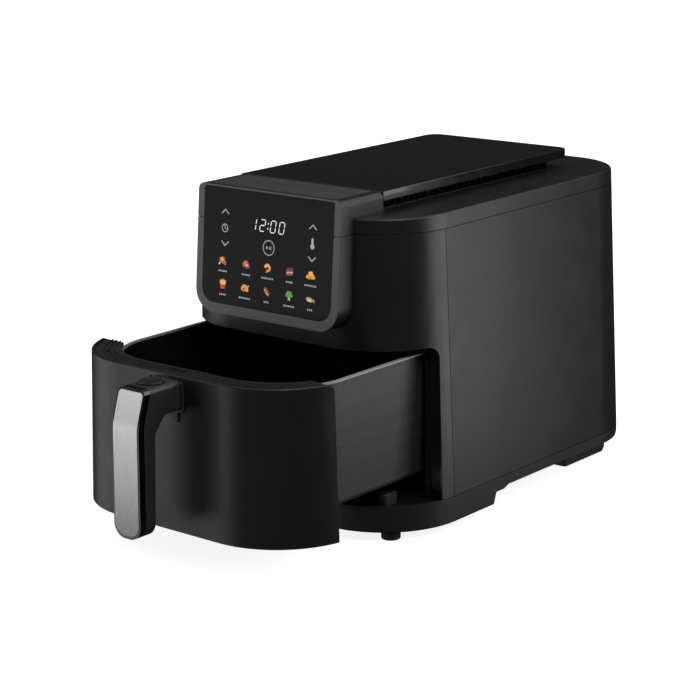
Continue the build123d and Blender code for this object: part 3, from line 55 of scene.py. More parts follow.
class Finish:
    """A material and the few nodes that build up its look, all in the object's own coordinates."""

    def __init__(self, name, color, roughness, metallic=0.0, **inputs):
        self.material = bpy.data.materials.new(name)
        self.material.use_nodes = True
        self.tree = self.material.node_tree
        self.shader = self.tree.nodes["Principled BSDF"]
        self.shader.inputs["Base Color"].default_value = color
        self.shader.inputs["Roughness"].default_value = roughness
        self.shader.inputs["Metallic"].default_value = metallic
        for key, value in inputs.items():
            self.shader.inputs[key.replace("_", " ")].default_value = value
        self.coordinates = self.tree.nodes.new("ShaderNodeTexCoord")
        self.material.diffuse_color = color

    def node(self, kind, **values):
        made = self.tree.nodes.new(kind)
        for key, value in values.items():
            if key in made.inputs:
                made.inputs[key].default_value = value
            else:
                setattr(made, key, value)
        return made

    def link(self, source, target):
        self.tree.links.new(source, target)

    def scaled(self, scale):
        """The object's coordinates in metres, multiplied along each axis."""
        mapping = self.node("ShaderNodeMapping")
        mapping.inputs["Scale"].default_value = scale
        self.link(self.coordinates.outputs["Object"], mapping.inputs["Vector"])
        return mapping.outputs["Vector"]

    def noise(self, size, detail=3.0, stretch=(1.0, 1.0, 1.0)):
        """Noise whose features are about size metres wide, drawn out along the axes with a low stretch."""
        texture = self.node("ShaderNodeTexNoise", Scale=1.0, Detail=detail)
        self.link(self.scaled(tuple(s / size for s in stretch)), texture.inputs["Vector"])
        return texture.outputs["Fac"]

    def flecks(self, size, share):
        """White dots of about a third of size, on the given share of cells."""
        cells = self.node("ShaderNodeTexVoronoi", Scale=1.0)
        self.link(self.scaled((1.0 / size,) * 3), cells.inputs["Vector"])
        chosen = self.node("ShaderNodeSeparateColor")
        self.link(cells.outputs["Color"], chosen.inputs["Color"])
        pick = self.node("ShaderNodeMath", operation="LESS_THAN")
        pick.inputs[1].default_value = share
        self.link(chosen.outputs["Red"], pick.inputs[0])
        near = self.node("ShaderNodeMath", operation="LESS_THAN")
        near.inputs[1].default_value = 0.34
        self.link(cells.outputs["Distance"], near.inputs[0])
        both = self.node("ShaderNodeMath", operation="MULTIPLY")
        self.link(pick.outputs[0], both.inputs[0])
        self.link(near.outputs[0], both.inputs[1])
        return both.outputs[0]

    def ramp(self, factor, stops):
        """Colours spread over a factor; stops are (position, colour)."""
        ramp = self.node("ShaderNodeValToRGB")
        elements = ramp.color_ramp.elements
        while len(elements) < len(stops):
            elements.new(0.5)
        for element, (position, color) in zip(elements, stops):
            element.position = position
            element.color = color
        self.link(factor, ramp.inputs["Fac"])
        return ramp.outputs["Color"]

    def spread(self, factor, low, high, start=0.3, end=0.7):
        """A factor mapped from start..end to low..high."""
        mapped = self.node("ShaderNodeMapRange")
        mapped.inputs["From Min"].default_value = start
        mapped.inputs["From Max"].default_value = end
        mapped.inputs["To Min"].default_value = low
        mapped.inputs["To Max"].default_value = high
        self.link(factor, mapped.inputs["Value"])
        return mapped.outputs["Result"]

    def vary_color(self, size, dark, light, detail=4.0, stretch=(1.0, 1.0, 1.0)):
        color = self.ramp(self.noise(size, detail, stretch), [(0.35, dark), (0.65, light)])
        self.link(color, self.shader.inputs["Base Color"])
        return self

    def vary_roughness(self, size, low, high, stretch=(1.0, 1.0, 1.0)):
        self.link(self.spread(self.noise(size, 3.0, stretch), low, high), self.shader.inputs["Roughness"])
        return self

    def relief(self, size, depth, strength=0.3, edge=0.0, stretch=(1.0, 1.0, 1.0)):
        """Fine surface grain of about size metres, over edges softened by edge metres."""
        bump = self.node("ShaderNodeBump", Strength=strength, Distance=depth)
        self.link(self.noise(size, 2.0, stretch), bump.inputs["Height"])
        if edge:
            soft = self.node("ShaderNodeBevel", samples=4)
            soft.inputs["Radius"].default_value = edge
            self.link(soft.outputs["Normal"], bump.inputs["Normal"])
        self.link(bump.outputs["Normal"], self.shader.inputs["Normal"])
        return self

    def blend_colors(self, factor, first, second):
        """Base colour that goes from first to second; each is a colour or a socket."""
        mix = self.node("ShaderNodeMix", data_type="RGBA")
        for socket, value in ((mix.inputs[6], first), (mix.inputs[7], second)):
            if isinstance(value, bpy.types.NodeSocket):
                self.link(value, socket)
            else:
                socket.default_value = value
        self.link(factor, mix.inputs[0])
        self.link(mix.outputs[2], self.shader.inputs["Base Color"])
        return mix.outputs[2]

    def facing(self, axis, start, end):
        """0 to 1 as the surface's normal turns towards an axis of the object."""
        apart = self.node("ShaderNodeSeparateXYZ")
        self.link(self.coordinates.outputs["Normal"], apart.inputs["Vector"])
        return self.spread(apart.outputs[axis], 0.0, 1.0, start, end)

    def outward(self, centre):
        """1 where the surface faces away from an upright line through centre, 0 where it faces it."""
        across = self.node("ShaderNodeVectorMath", operation="SUBTRACT")
        self.link(self.coordinates.outputs["Object"], across.inputs[0])
        across.inputs[1].default_value = centre
        level = self.node("ShaderNodeVectorMath", operation="MULTIPLY")
        self.link(across.outputs["Vector"], level.inputs[0])
        level.inputs[1].default_value = (1.0, 1.0, 0.0)
        facing = self.node("ShaderNodeVectorMath", operation="DOT_PRODUCT")
        self.link(level.outputs["Vector"], facing.inputs[0])
        self.link(self.coordinates.outputs["Normal"], facing.inputs[1])
        return self.spread(facing.outputs["Value"], 0.0, 1.0, 0.0, 5 * MM)

    def height(self, start, end):
        """0 to 1 between two heights in metres."""
        apart = self.node("ShaderNodeSeparateXYZ")
        self.link(self.coordinates.outputs["Object"], apart.inputs["Vector"])
        return self.spread(apart.outputs["Z"], 0.0, 1.0, start, end)


def moulded_plastic(name, shade, roughness, grain=0.45 * MM, depth=0.012 * MM, edge=0.35 * MM):
    """Black moulded plastic with a fine texture and slightly softened edges."""
    finish = Finish(name, (*shade, 1.0), roughness)
    darker = tuple(0.9 * s for s in shade) + (1.0,)
    lighter = tuple(1.1 * s for s in shade) + (1.0,)
    finish.vary_color(60 * MM, darker, lighter)
    finish.vary_roughness(25 * MM, roughness - 0.03, roughness + 0.03)
    finish.relief(grain, depth, 0.35, edge)
    return finish.material


def cover_plastic():
    """Satin black cover whose vented step, tucked under the top plate, is coloured near-black with little
    gloss as painted shade.
    """
    finish = Finish("cover_black", (0.0075, 0.0075, 0.0078, 1.0), 0.36)
    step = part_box("top_plate")[0].z - VENT_STEP
    # Painted shade: from the step's height up, the colour goes near-black and the specular drops, standing
    # in for the shadow under the top plate.
    painted_shade_step = finish.height(step, step + 0.3 * MM)
    tones = [(0.35, (0.0068, 0.0068, 0.007, 1)), (0.65, (0.0083, 0.0083, 0.0086, 1))]
    ground = finish.ramp(finish.noise(60 * MM, 4.0), tones)
    finish.blend_colors(painted_shade_step, ground, (0.0006, 0.0006, 0.0006, 1.0))
    finish.link(finish.spread(painted_shade_step, 0.5, 0.04, 0.0, 1.0), finish.shader.inputs["Specular IOR Level"])
    finish.vary_roughness(25 * MM, 0.33, 0.39)
    finish.relief(0.45 * MM, 0.012 * MM, 0.35, 0.35 * MM)
    return finish.material


def gloss_plastic(name, shade, roughness):
    """Polished black plastic: clear gloss with faint handling haze."""
    finish = Finish(name, (*shade, 1.0), roughness, Coat_Weight=0.4, Coat_Roughness=0.04)
    finish.vary_roughness(14 * MM, roughness - 0.02, roughness + 0.05)
    finish.relief(1.2 * MM, 0.002 * MM, 0.2, 0.3 * MM)
    return finish.material


def head_paint():
    """Grey satin paint on the face of the control head; its sides are black plastic."""
    finish = Finish("head_paint", srgb(84, 84, 86), 0.4)
    flake = finish.ramp(finish.noise(0.35 * MM, 2.0), [(0.3, srgb(90, 90, 92)), (0.7, srgb(104, 104, 106))])
    finish.blend_colors(finish.facing("Y", -0.55, -0.93), srgb(24, 24, 25), flake)
    finish.vary_roughness(0.5 * MM, 0.36, 0.46)
    finish.relief(0.4 * MM, 0.008 * MM, 0.3, 0.5 * MM)
    return finish.material


def pan_coating():
    """Speckled grey coating outside; darker inside, partly the non-stick coating's own colour and partly
    painted shade; a painted highlight as a bright band along the rim.
    """
    finish = Finish("pan_coating", srgb(46, 46, 47), 0.38)
    low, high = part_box("pan")
    grain = finish.noise(1.4 * MM, 5.0)
    outer = finish.ramp(grain, [(0.3, srgb(46, 46, 47)), (0.7, srgb(64, 64, 66))])
    # Inside colour: partly the darker non-stick coating, partly painted shade for the shadowed inside of
    # the pan.
    inner = finish.ramp(grain, [(0.3, srgb(10, 10, 10)), (0.7, srgb(20, 20, 21))])
    speckled = finish.blend_colors(finish.flecks(0.9 * MM, 0.22), outer, srgb(88, 88, 91))
    sided = finish.blend_colors(finish.outward((low + high) / 2), inner, speckled)
    # Painted highlight: the top of the rim is coloured bright grey.
    rim = finish.height(high.z - 1.7 * MM, high.z - 1.4 * MM)
    finish.blend_colors(rim, sided, srgb(150, 150, 153))
    finish.vary_roughness(3 * MM, 0.33, 0.44)
    finish.relief(0.9 * MM, 0.02 * MM, 0.5, 0.3 * MM)
    return finish.material


def crisper_coating():
    """The same kind of coating as inside the pan, a little lighter."""
    finish = Finish("crisper_coating", srgb(44, 44, 45), 0.42)
    ground = finish.ramp(finish.noise(1.2 * MM, 5.0), [(0.3, srgb(20, 20, 21)), (0.7, srgb(32, 32, 33))])
    finish.blend_colors(finish.flecks(1.2 * MM, 0.2), ground, srgb(64, 64, 66))
    finish.relief(0.8 * MM, 0.02 * MM, 0.5, 0.3 * MM)
    return finish.material


def handle_silver():
    """Brushed silver plate, with a painted reflection that makes it brighter towards its top end."""
    finish = Finish("silver_plate", srgb(176, 176, 179), 0.3, 1.0)
    low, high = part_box("handle_plate")
    lines = finish.noise(0.35 * MM, 3.0, (1.0, 1.0, 0.02))
    # Painted reflection: the colour runs from darker at the bottom to brighter at the top.
    bottom = finish.ramp(lines, [(0.35, srgb(118, 118, 121)), (0.65, srgb(134, 134, 137))])
    top = finish.ramp(lines, [(0.35, srgb(196, 196, 199)), (0.65, srgb(212, 212, 215))])
    finish.blend_colors(finish.height(low.z, high.z), bottom, top)
    finish.vary_roughness(0.3 * MM, 0.24, 0.36, (1.0, 1.0, 0.02))
    finish.relief(0.3 * MM, 0.004 * MM, 0.25, 0.3 * MM, (1.0, 1.0, 0.02))
    return finish.material


def plain_metal(name, color, roughness, stain=None):
    """Metal with a cast or rolled skin, and stains where it gets hot."""
    finish = Finish(name, color, roughness, 1.0)
    finish.vary_color(9 * MM, stain or tuple(0.8 * c for c in color[:3]) + (1.0,), color)
    finish.vary_roughness(4 * MM, roughness - 0.05, roughness + 0.1)
    finish.relief(0.8 * MM, 0.01 * MM, 0.3, 0.2 * MM)
    return finish.material


def matte_solid(name, dark, light, roughness, grain, depth):
    """Rubber, nylon, felt or board: a matte solid with visible grain."""
    finish = Finish(name, light, roughness)
    finish.vary_color(grain * 4, dark, light)
    finish.relief(grain, depth, 0.5, 0.3 * MM)
    return finish.material


def laminated_steel():
    """Stacked steel sheets: thin level lines."""
    finish = Finish("laminated_steel", srgb(120, 112, 104), 0.45, 1.0)
    finish.vary_color(0.5 * MM, srgb(86, 80, 74), srgb(140, 132, 124), 2.0, (0.02, 0.02, 1.0))
    finish.relief(0.5 * MM, 0.03 * MM, 0.6, 0.2 * MM, (0.02, 0.02, 1.0))
    return finish.material


def touch_glass():
    """Black glass in front of the display, with faint finger haze."""
    finish = Finish("touch_glass", srgb(22, 22, 24), 0.2, Specular_IOR_Level=0.1)
    finish.vary_color(40 * MM, srgb(27, 27, 30), srgb(32, 32, 35))
    finish.vary_roughness(18 * MM, 0.16, 0.26)
    finish.relief(2.0 * MM, 0.001 * MM, 0.1, 0.4 * MM)
    return finish.material


def lit_print(name, dark, light, grain=0.8 * MM, glow=0.55):
    """Backlit print on the glass: its own colour with a little light of its own."""
    finish = Finish(name, light, 0.35, Emission_Strength=glow)
    color = finish.ramp(finish.noise(grain, 3.0), [(0.35, dark), (0.65, light)])
    finish.link(color, finish.shader.inputs["Base Color"])
    finish.link(color, finish.shader.inputs["Emission Color"])
    return finish.material


def paint_nodes():
    """Gives every CAD node its material."""
    satin = moulded_plastic("satin_black", (0.0075, 0.0075, 0.0078), 0.36)
    deck = moulded_plastic("deck_black", (0.02, 0.02, 0.0205), 0.46, 0.6 * MM)
    base = moulded_plastic("base_black", (0.0055, 0.0055, 0.0057), 0.5, 0.7 * MM, 0.02 * MM)
    grip = moulded_plastic("grip_black", (0.04, 0.04, 0.041), 0.36, 0.4 * MM)
    dark = moulded_plastic("sleeve_black", (0.006, 0.006, 0.0062), 0.5, 0.7 * MM)
    strip = moulded_plastic("strip_satin", (0.062, 0.062, 0.063), 0.42, 0.35 * MM)
    button = moulded_plastic("button_satin", (0.022, 0.022, 0.023), 0.34, 0.35 * MM)
    gloss = gloss_plastic("gloss_black", (0.004, 0.004, 0.0043), 0.16)
    border = gloss_plastic("border_black", (0.003, 0.003, 0.0032), 0.09)
    rubber = matte_solid("foot_rubber", srgb(20, 20, 20), srgb(34, 34, 34), 0.8, 0.8 * MM, 0.04 * MM)
    silicone = matte_solid("silicone", srgb(24, 24, 24), srgb(36, 36, 36), 0.6, 0.9 * MM, 0.02 * MM)
    nylon = matte_solid("nylon", srgb(38, 38, 39), srgb(52, 52, 54), 0.5, 1.0 * MM, 0.01 * MM)
    board = matte_solid("circuit_board", srgb(14, 70, 38), srgb(24, 96, 52), 0.45, 1.5 * MM, 0.02 * MM)
    cream = matte_solid("cream_plastic", srgb(200, 198, 188), srgb(226, 224, 214), 0.5, 1.0 * MM, 0.01 * MM)
    felt = matte_solid("felt", srgb(168, 162, 148), srgb(206, 200, 186), 0.95, 1.6 * MM, 0.3 * MM)
    steel = plain_metal("bare_steel", srgb(176, 177, 180), 0.32)
    hot_steel = plain_metal("dark_steel", srgb(126, 120, 114), 0.4, srgb(82, 66, 54))
    liner = plain_metal("chamber_steel", srgb(70, 70, 72), 0.42)
    aluminium = plain_metal("cast_aluminium", srgb(196, 198, 200), 0.38)
    bronze = plain_metal("sintered_bronze", srgb(176, 130, 78), 0.45)
    head = head_paint()
    coating = pan_coating()
    finishes = {
        satin: "front_cover wrap_shell drawer_front",
        cover_plastic(): "top_cover",
        deck: "drawer_deck",
        base: "base_tray rear_grille rear_feet",
        dark: "opening_trim",
        grip: "handle_body handle_escutcheon",
        strip: "top_strip",
        button: "release_button",
        gloss: "top_plate",
        border: "handle_rim",
        rubber: "front_feet cord_gland",
        silicone: "crisper_bumpers",
        nylon: "guide_blocks pan_runners drawer_switch cooling_fan release_catch board_parts",
        board: "display_board power_board",
        cream: "led_module board_posts",
        felt: "roof_insulation",
        steel: "base_screws motor_screws pan_screws handle_screws motor_bracket motor_shaft fan_nut"
        " touch_springs button_spring temperature_probe motor_case exhaust_duct thermal_cutout",
        hot_steel: "heating_element element_clips element_guard",
        liner: "chamber_liner",
        aluminium: "hot_air_fan",
        bronze: "motor_bushes",
        laminated_steel(): "motor_stator motor_rotor",
        handle_silver(): "handle_plate",
        head: "display_housing display_cap",
        coating: "pan",
        crisper_coating(): "crisper_plate",
        touch_glass(): "display_glass",
    }
    painted = set()
    for finish, names in finishes.items():
        for name in names.split():
            NODES[name].data.materials.clear()
            NODES[name].data.materials.append(finish)
            painted.add(name)
    assert painted == set(NODES), set(NODES) ^ painted


# Shapes on the display, in millimetres across (u) and down (v) from the middle of the head's top --

SEGMENTS = {
    "0": "abcdef",
    "1": "bc",
    "2": "abged",
}
DIGIT_WIDTH = 5.6
DIGIT_HEIGHT = 10.2
DIGIT_STROKE = 0.8
DIGIT_GAP = 0.9
DIGIT_LEAN = 0.16
CLOCK_V = 30.4
CLOCK_DIGITS = (("1", -16.2), ("2", -5.6), ("0", 6.6), ("0", 16.6))
CLOCK_DOTS = ((1.0, 28.2), (0.3, 32.6))
DOT_RADIUS = 0.65
ARROW_REACH = 3.9
ARROW_RISE = 3.6
ARROW_STROKE = 0.95
DIAL_RADIUS = 3.4
START_RADIUS = 6.4
HAND_STROKE = 0.7
RING_STROKE = 0.75
RING_STROKES = 40
FOOD_ROWS = ((67.5, (-51.5, -23.6, 1.7, 27.4, 51.3)), (88.5, (-50.7, -24.5, 1.4, 27.6, 51.6)))
FOOD_RISE = 0.5
CAPTION_WIDTHS = ((10.5, 10.5, 14.5, 8.0, 14.0), (8.5, 14.0, 6.5, 13.0, 6.5))
CAPTION_DROP = 8.6
MARK_PITCH = 1.9
MARK_SHARE = 0.62
MARK_HEIGHT = 1.5
PRINT_LIFT = 0.03
PRINT_THICKNESS = 0.03
PRINT_STEP = 0.002
PRINT_STEPS = 8
LAYER_STEP = 0.02


def lump(u, v, radius, flat=1.0, turn=0.0, waves=3, wobble=0.12, phase=0.0, count=36):
    """Ellipse with a wavy edge, turned about its middle; flat is its height over its width."""
    points = []
    for i in range(count):
        angle = 2 * math.pi * i / count
        reach = radius * (1 + wobble * math.sin(waves * angle + phase))
        x = reach * math.cos(angle)
        y = reach * flat * math.sin(angle)
        across = u + x * math.cos(turn) - y * math.sin(turn)
        down = v + x * math.sin(turn) + y * math.cos(turn)
        points.append((across, down))
    return points


def disc(u, v, radius):
    """Plain circle."""
    return lump(u, v, radius, wobble=0.0, count=28)


def bar(u0, v0, u1, v1, width):
    """Straight stroke with round ends."""
    length = math.hypot(u1 - u0, v1 - v0)
    along = ((u1 - u0) / length, (v1 - v0) / length)
    half = width / 2
    heading = math.atan2(along[1], along[0])
    points = []
    for end, start in (((u1, v1), -90), ((u0, v0), 90)):
        for step in range(7):
            angle = heading + math.radians(start + 30 * step)
            points.append((end[0] + half * math.cos(angle), end[1] + half * math.sin(angle)))
    return points


def block(u, v, width, height):
    """Upright rectangle."""
    half = width / 2
    rise = height / 2
    return [(u - half, v + rise), (u + half, v + rise), (u + half, v - rise), (u - half, v - rise)]


def ring(u, v, radius, width):
    """A circle drawn as short strokes."""
    inner = radius - width / 2
    outer = radius + width / 2
    pieces = []
    for i in range(RING_STROKES):
        a = 2 * math.pi * i / RING_STROKES
        b = 2 * math.pi * (i + 1) / RING_STROKES
        edges = ((inner, a), (outer, a), (outer, b), (inner, b))
        pieces.append([(u + r * math.cos(t), v + r * math.sin(t)) for r, t in edges])
    return pieces


def digit(shape, u):
    """Slanted seven-segment figure with its middle at u on the clock's line."""
    v = CLOCK_V
    lean = DIGIT_LEAN
    gap = DIGIT_GAP
    half_u = DIGIT_WIDTH / 2
    half_v = DIGIT_HEIGHT / 2
    level = {"a": -half_v, "g": 0.0, "d": half_v}
    pieces = []
    for name in SEGMENTS[shape]:
        if name in level:
            y = level[name]
            middle = u - lean * y
            pieces.append(bar(middle - half_u + gap, v + y, middle + half_u - gap, v + y, DIGIT_STROKE))
        else:
            x = half_u if name in "bc" else -half_u
            y0, y1 = (-half_v + gap, -gap) if name in "bf" else (gap, half_v - gap)
            pieces.append(bar(u + x - lean * y0, v + y0, u + x - lean * y1, v + y1, DIGIT_STROKE))
    return pieces


def clock_figures():
    """Twelve o'clock, with two dots between the hours and the minutes."""
    pieces = []
    for shape, u in CLOCK_DIGITS:
        pieces += digit(shape, u)
    return pieces + [disc(u, v, DOT_RADIUS) for u, v in CLOCK_DOTS]


def chevron(u, v, direction):
    """Arrow head that points up (-1) or down (+1)."""
    tip = v + direction * ARROW_RISE / 2
    end = v - direction * ARROW_RISE / 2
    left = bar(u - ARROW_REACH, end, u, tip, ARROW_STROKE)
    return [left, bar(u, tip, u + ARROW_REACH, end, ARROW_STROKE)]


def clock_symbol(u, v):
    """Round dial with two hands."""
    hands = [bar(u, v, u, v - 2.1, HAND_STROKE), bar(u, v, u + 1.6, v + 0.9, HAND_STROKE)]
    return ring(u, v, DIAL_RADIUS, RING_STROKE) + hands


def thermometer(u, v):
    """Tube over a bulb."""
    return [bar(u, v - 3.6, u, v + 1.4, 2.4), disc(u, v + 2.6, 2.3)]


def start_symbol(u, v):
    """Start and pause marks in a ring."""
    triangle = [(u - 2.9, v - 1.5), (u - 0.3, v), (u - 2.9, v + 1.5)]
    pause = [block(u + 1.2, v, 0.7, 2.8), block(u + 2.7, v, 0.7, 2.8)]
    return ring(u, v, START_RADIUS, RING_STROKE) + [triangle] + pause


def side_symbols():
    """Time on the left, temperature on the right and the start mark between them."""
    pieces = chevron(-50.0, 22.8, -1) + clock_symbol(-50.0, 37.6) + chevron(-49.5, 51.4, 1)
    pieces += chevron(52.0, 25.3, -1) + thermometer(52.0, 39.6) + chevron(52.0, 53.1, 1)
    return pieces + start_symbol(2.2, 49.2)


def caption_marks(u, v, width):
    """Row of small marks under a programme's picture, in place of its name."""
    count = max(3, round(width / MARK_PITCH))
    pitch = width / count
    middle = (count - 1) / 2
    return [block(u + (i - middle) * pitch, v, MARK_SHARE * pitch, MARK_HEIGHT) for i in range(count)]


def captions():
    """The marks under all the pictures."""
    pieces = []
    for (v, places), widths in zip(FOOD_ROWS, CAPTION_WIDTHS):
        for u, width in zip(places, widths):
            pieces += caption_marks(u, v + CAPTION_DROP, width)
    return pieces


def wing(u, v):
    return {
        "roast_brown": [lump(u - 0.4, v - 0.6, 3.6, 0.82, 0.5), lump(u + 2.4, v + 1.6, 2.2, 0.7, 0.8)],
        "roast_gold": [lump(u - 0.9, v - 1.1, 2.1, 0.7, 0.4, 4, 0.15)],
        "bone_cream": [bar(u - 3.2, v + 1.8, u - 4.2, v + 3.2, 1.2)],
    }


def steak(u, v):
    return {
        "meat_red": [lump(u, v, 4.3, 0.8, 0.35, 3, 0.1, 0.6)],
        "meat_pink": [lump(u - 0.3, v - 0.3, 2.9, 0.7, 0.35, 3, 0.14, 0.9)],
        "bone_cream": [lump(u + 1.0, v + 0.5, 0.9, 0.8)],
    }


def shrimp(u, v):
    curl = []
    for i, angle in enumerate((-2.6, -2.0, -1.4, -0.8, -0.2, 0.4, 1.0)):
        curl.append(lump(u + 2.6 * math.cos(angle), v + 2.5 * math.sin(angle), 1.75 - 0.11 * i, 0.9))
    bands = []
    for angle in (-2.3, -1.7, -1.1, -0.5):
        bands.append(disc(u + 2.6 * math.cos(angle), v + 2.5 * math.sin(angle), 0.45))
    tail = [bar(u + 0.7, v + 2.8, u - 1.4, v + 3.6, 0.9), bar(u + 0.7, v + 2.8, u - 0.8, v + 1.8, 0.9)]
    return {
        "shell_orange": curl,
        "bone_cream": bands,
        "roast_gold": tail,
    }


def cake(u, v):
    slab = [(u - 3.8, v - 0.6), (u + 3.9, v - 1.8), (u + 3.9, v + 2.6), (u - 3.8, v + 3.6)]
    icing_top = [(u - 3.8, v - 2.6), (u + 1.0, v - 4.0), (u + 3.9, v - 3.2)]
    icing = icing_top + [(u + 3.9, v - 1.7), (u - 3.8, v - 0.5)]
    layer = [(u - 3.6, v + 0.9), (u + 3.7, v - 0.3), (u + 3.7, v + 0.5), (u - 3.6, v + 1.7)]
    return {"cake_brown": [slab], "icing_dark": [icing], "cake_cream": [layer]}


def nuggets(u, v):
    return {
        "crust_gold": [lump(u - 2.5, v + 1.6, 2.5, 0.75, 0.2), lump(u + 2.6, v + 1.5, 2.6, 0.75, -0.2)],
        "crust_light": [lump(u + 0.2, v - 1.4, 2.7, 0.8, 0.1, 4, 0.1)],
    }


def fries(u, v):
    sticks = [bar(u + x, v + 0.6, u + 1.25 * x, v - top, 0.95) for x, top in (
        (-2.6, 3.0), (-1.6, 4.2), (-0.5, 3.6), (0.6, 4.5), (1.6, 3.7), (2.6, 3.2))]
    return {
        "fries_yellow": sticks,
        "carton_red": [[(u - 3.2, v - 0.6), (u - 1.0, v + 0.4), (u + 1.0, v + 0.4), (u + 3.2, v - 0.6),
                        (u + 2.4, v + 4.0), (u - 2.4, v + 4.0)]],
    }


def chicken(u, v):
    return {
        "roast_gold": [lump(u, v, 4.2, 0.72, -0.1, 3, 0.08), lump(u + 3.0, v + 1.9, 1.6, 0.8)],
        "roast_brown": [lump(u - 1.2, v + 1.0, 1.9, 0.6, 0.4), lump(u + 1.6, v - 0.2, 1.2, 0.7)],
        "bone_cream": [bar(u + 3.9, v - 1.4, u + 4.6, v - 2.3, 0.9)],
    }


def ribs(u, v):
    slab = [lump(u - 1.2 + 1.3 * i, v - 1.8 + 1.6 * i, 2.3, 0.85, 0.9, 4, 0.08) for i in range(3)]
    bones = []
    for i in range(3):
        x = u + 1.5 * i
        y = v + 1.6 * i
        bones.append(bar(x - 2.6, y - 0.6, x - 1.3, y - 1.6, 0.55))
    return {"meat_red": slab, "bone_cream": bones}


def broccoli(u, v):
    crown = [lump(u + x, v + y, r, 0.95, 0.0, 6, 0.09) for x, y, r in (
        (-2.2, -0.6, 1.9), (2.2, -0.6, 1.9), (-0.9, -2.3, 2.0), (1.2, -2.2, 1.9), (0.0, -0.4, 2.0))]
    return {
        "stalk_green": [[(u - 1.0, v + 0.6), (u + 1.0, v + 0.6), (u + 1.5, v + 4.0), (u - 1.3, v + 4.0)]],
        "leaf_green": crown,
    }


def fish(u, v):
    tail = [(u + 3.0, v + 0.6), (u + 5.0, v - 0.9), (u + 4.8, v + 2.9)]
    return {
        "fish_tan": [lump(u - 0.5, v + 0.2, 4.0, 0.5, 0.15, 2, 0.04), tail],
        "fish_pale": [lump(u - 0.9, v + 1.0, 2.6, 0.35, 0.15)],
        "icing_dark": [disc(u - 3.0, v - 0.5, 0.35)],
    }


FOODS = ((wing, steak, shrimp, cake, nuggets), (fries, chicken, ribs, broccoli, fish))
PRINT_COLORS = {
    "roast_brown": ((146, 74, 24), (206, 116, 42)),
    "roast_gold": ((214, 134, 44), (244, 178, 78)),
    "bone_cream": ((228, 206, 170), (248, 232, 204)),
    "meat_red": ((122, 46, 30), (176, 74, 50)),
    "meat_pink": ((184, 92, 66), (214, 128, 96)),
    "shell_orange": ((222, 120, 40), (246, 166, 84)),
    "cake_brown": ((112, 66, 44), (148, 94, 66)),
    "icing_dark": ((66, 36, 26), (96, 56, 40)),
    "cake_cream": ((214, 176, 142), (232, 200, 168)),
    "crust_gold": ((206, 128, 30), (240, 170, 58)),
    "crust_light": ((226, 152, 46), (252, 196, 84)),
    "fries_yellow": ((232, 186, 52), (252, 216, 92)),
    "carton_red": ((184, 40, 30), (214, 58, 44)),
    "stalk_green": ((150, 186, 90), (178, 208, 116)),
    "leaf_green": ((62, 118, 36), (112, 168, 62)),
    "fish_tan": ((168, 130, 94), (206, 168, 128)),
    "fish_pale": ((216, 186, 150), (234, 210, 180)),
}


class Face:
    """The control head's glass: places on it are millimetres across and down from its top middle."""

    def __init__(self):
        glass = NODES["display_glass"].data
        front = max(glass.polygons, key=lambda p: -p.normal.y * p.area)
        self.out = front.normal.normalized()
        self.down = Vector((0, 0, -1)) - self.out * Vector((0, 0, -1)).dot(self.out)
        self.down.normalize()
        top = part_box("display_cap")[1].z
        on_glass = Vector(glass.vertices[front.vertices[0]].co)
        on_glass.x = 0.0
        self.origin = on_glass + self.down * ((on_glass.z - top) / -self.down.z)

    def point(self, u, v, lift):
        return self.origin + Vector((u * MM, 0, 0)) + self.down * (v * MM) + self.out * (lift * MM)


def printed_piece(name, face, outlines, material, lift=PRINT_LIFT):
    """Outlines on the glass as thin closed slabs, each a hair higher than the one before."""
    mesh = bpy.data.meshes.new(name)
    shape = bmesh.new()
    for index, outline in enumerate(outlines):
        base = lift + PRINT_STEP * (index % PRINT_STEPS)
        lower = [shape.verts.new(face.point(u, v, base)) for u, v in outline]
        upper = [shape.verts.new(face.point(u, v, base + PRINT_THICKNESS)) for u, v in outline]
        shape.faces.new(lower)
        shape.faces.new(upper)
        for i in range(len(outline)):
            j = (i + 1) % len(outline)
            shape.faces.new((lower[i], lower[j], upper[j], upper[i]))
    bmesh.ops.recalc_face_normals(shape, faces=shape.faces)
    shape.to_mesh(mesh)
    shape.free()
    piece = bpy.data.objects.new(name, mesh)
    bpy.context.scene.collection.objects.link(piece)
    mesh.materials.append(material)
    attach(piece, "housing")


def print_display():
    """Figures, symbols and programme pictures on the glass."""
    face = Face()
    white = lit_print("print_white", srgb(226, 228, 230), srgb(240, 241, 242), 2 * MM, 0.75)
    dim = lit_print("print_dim", srgb(176, 177, 180), srgb(196, 197, 200), 2 * MM, 0.35)
    printed_piece("display_figures", face, clock_figures(), white)
    printed_piece("display_symbols", face, side_symbols(), dim)
    printed_piece("programme_captions", face, captions(), dim)
    colors = {}
    for name, (dark, light) in PRINT_COLORS.items():
        colors[name] = lit_print(name, srgb(*dark), srgb(*light))
    for (v, places), foods in zip(FOOD_ROWS, FOODS):
        for u, food in zip(places, foods):
            for layer, (color, outlines) in enumerate(food(u, v - FOOD_RISE).items()):
                name = f"picture_{food.__name__}_{color}"
                lift = PRINT_LIFT + LAYER_STEP * layer
                printed_piece(name, face, outlines, colors[color], lift)


# Studio ------------------------------------------------------------------------------------------

CAMERA_AZIMUTH = 40.008
CAMERA_ELEVATION = 14.563
CAMERA_ROLL = -0.935
CAMERA_PLACE = Vector((1.2142, -1.44675, 0.6305))
CAMERA_SENSOR = 36.0
CAMERA_LENS = 108.81
FLOOR_SIZE = 12.0
SHADOW_RADIUS = 0.35
WHITE_RADIUS = 1.1
FRONT_FILL = 0.13
BACK_FILL = 0.025
OVERHEAD_FILL = 0.4


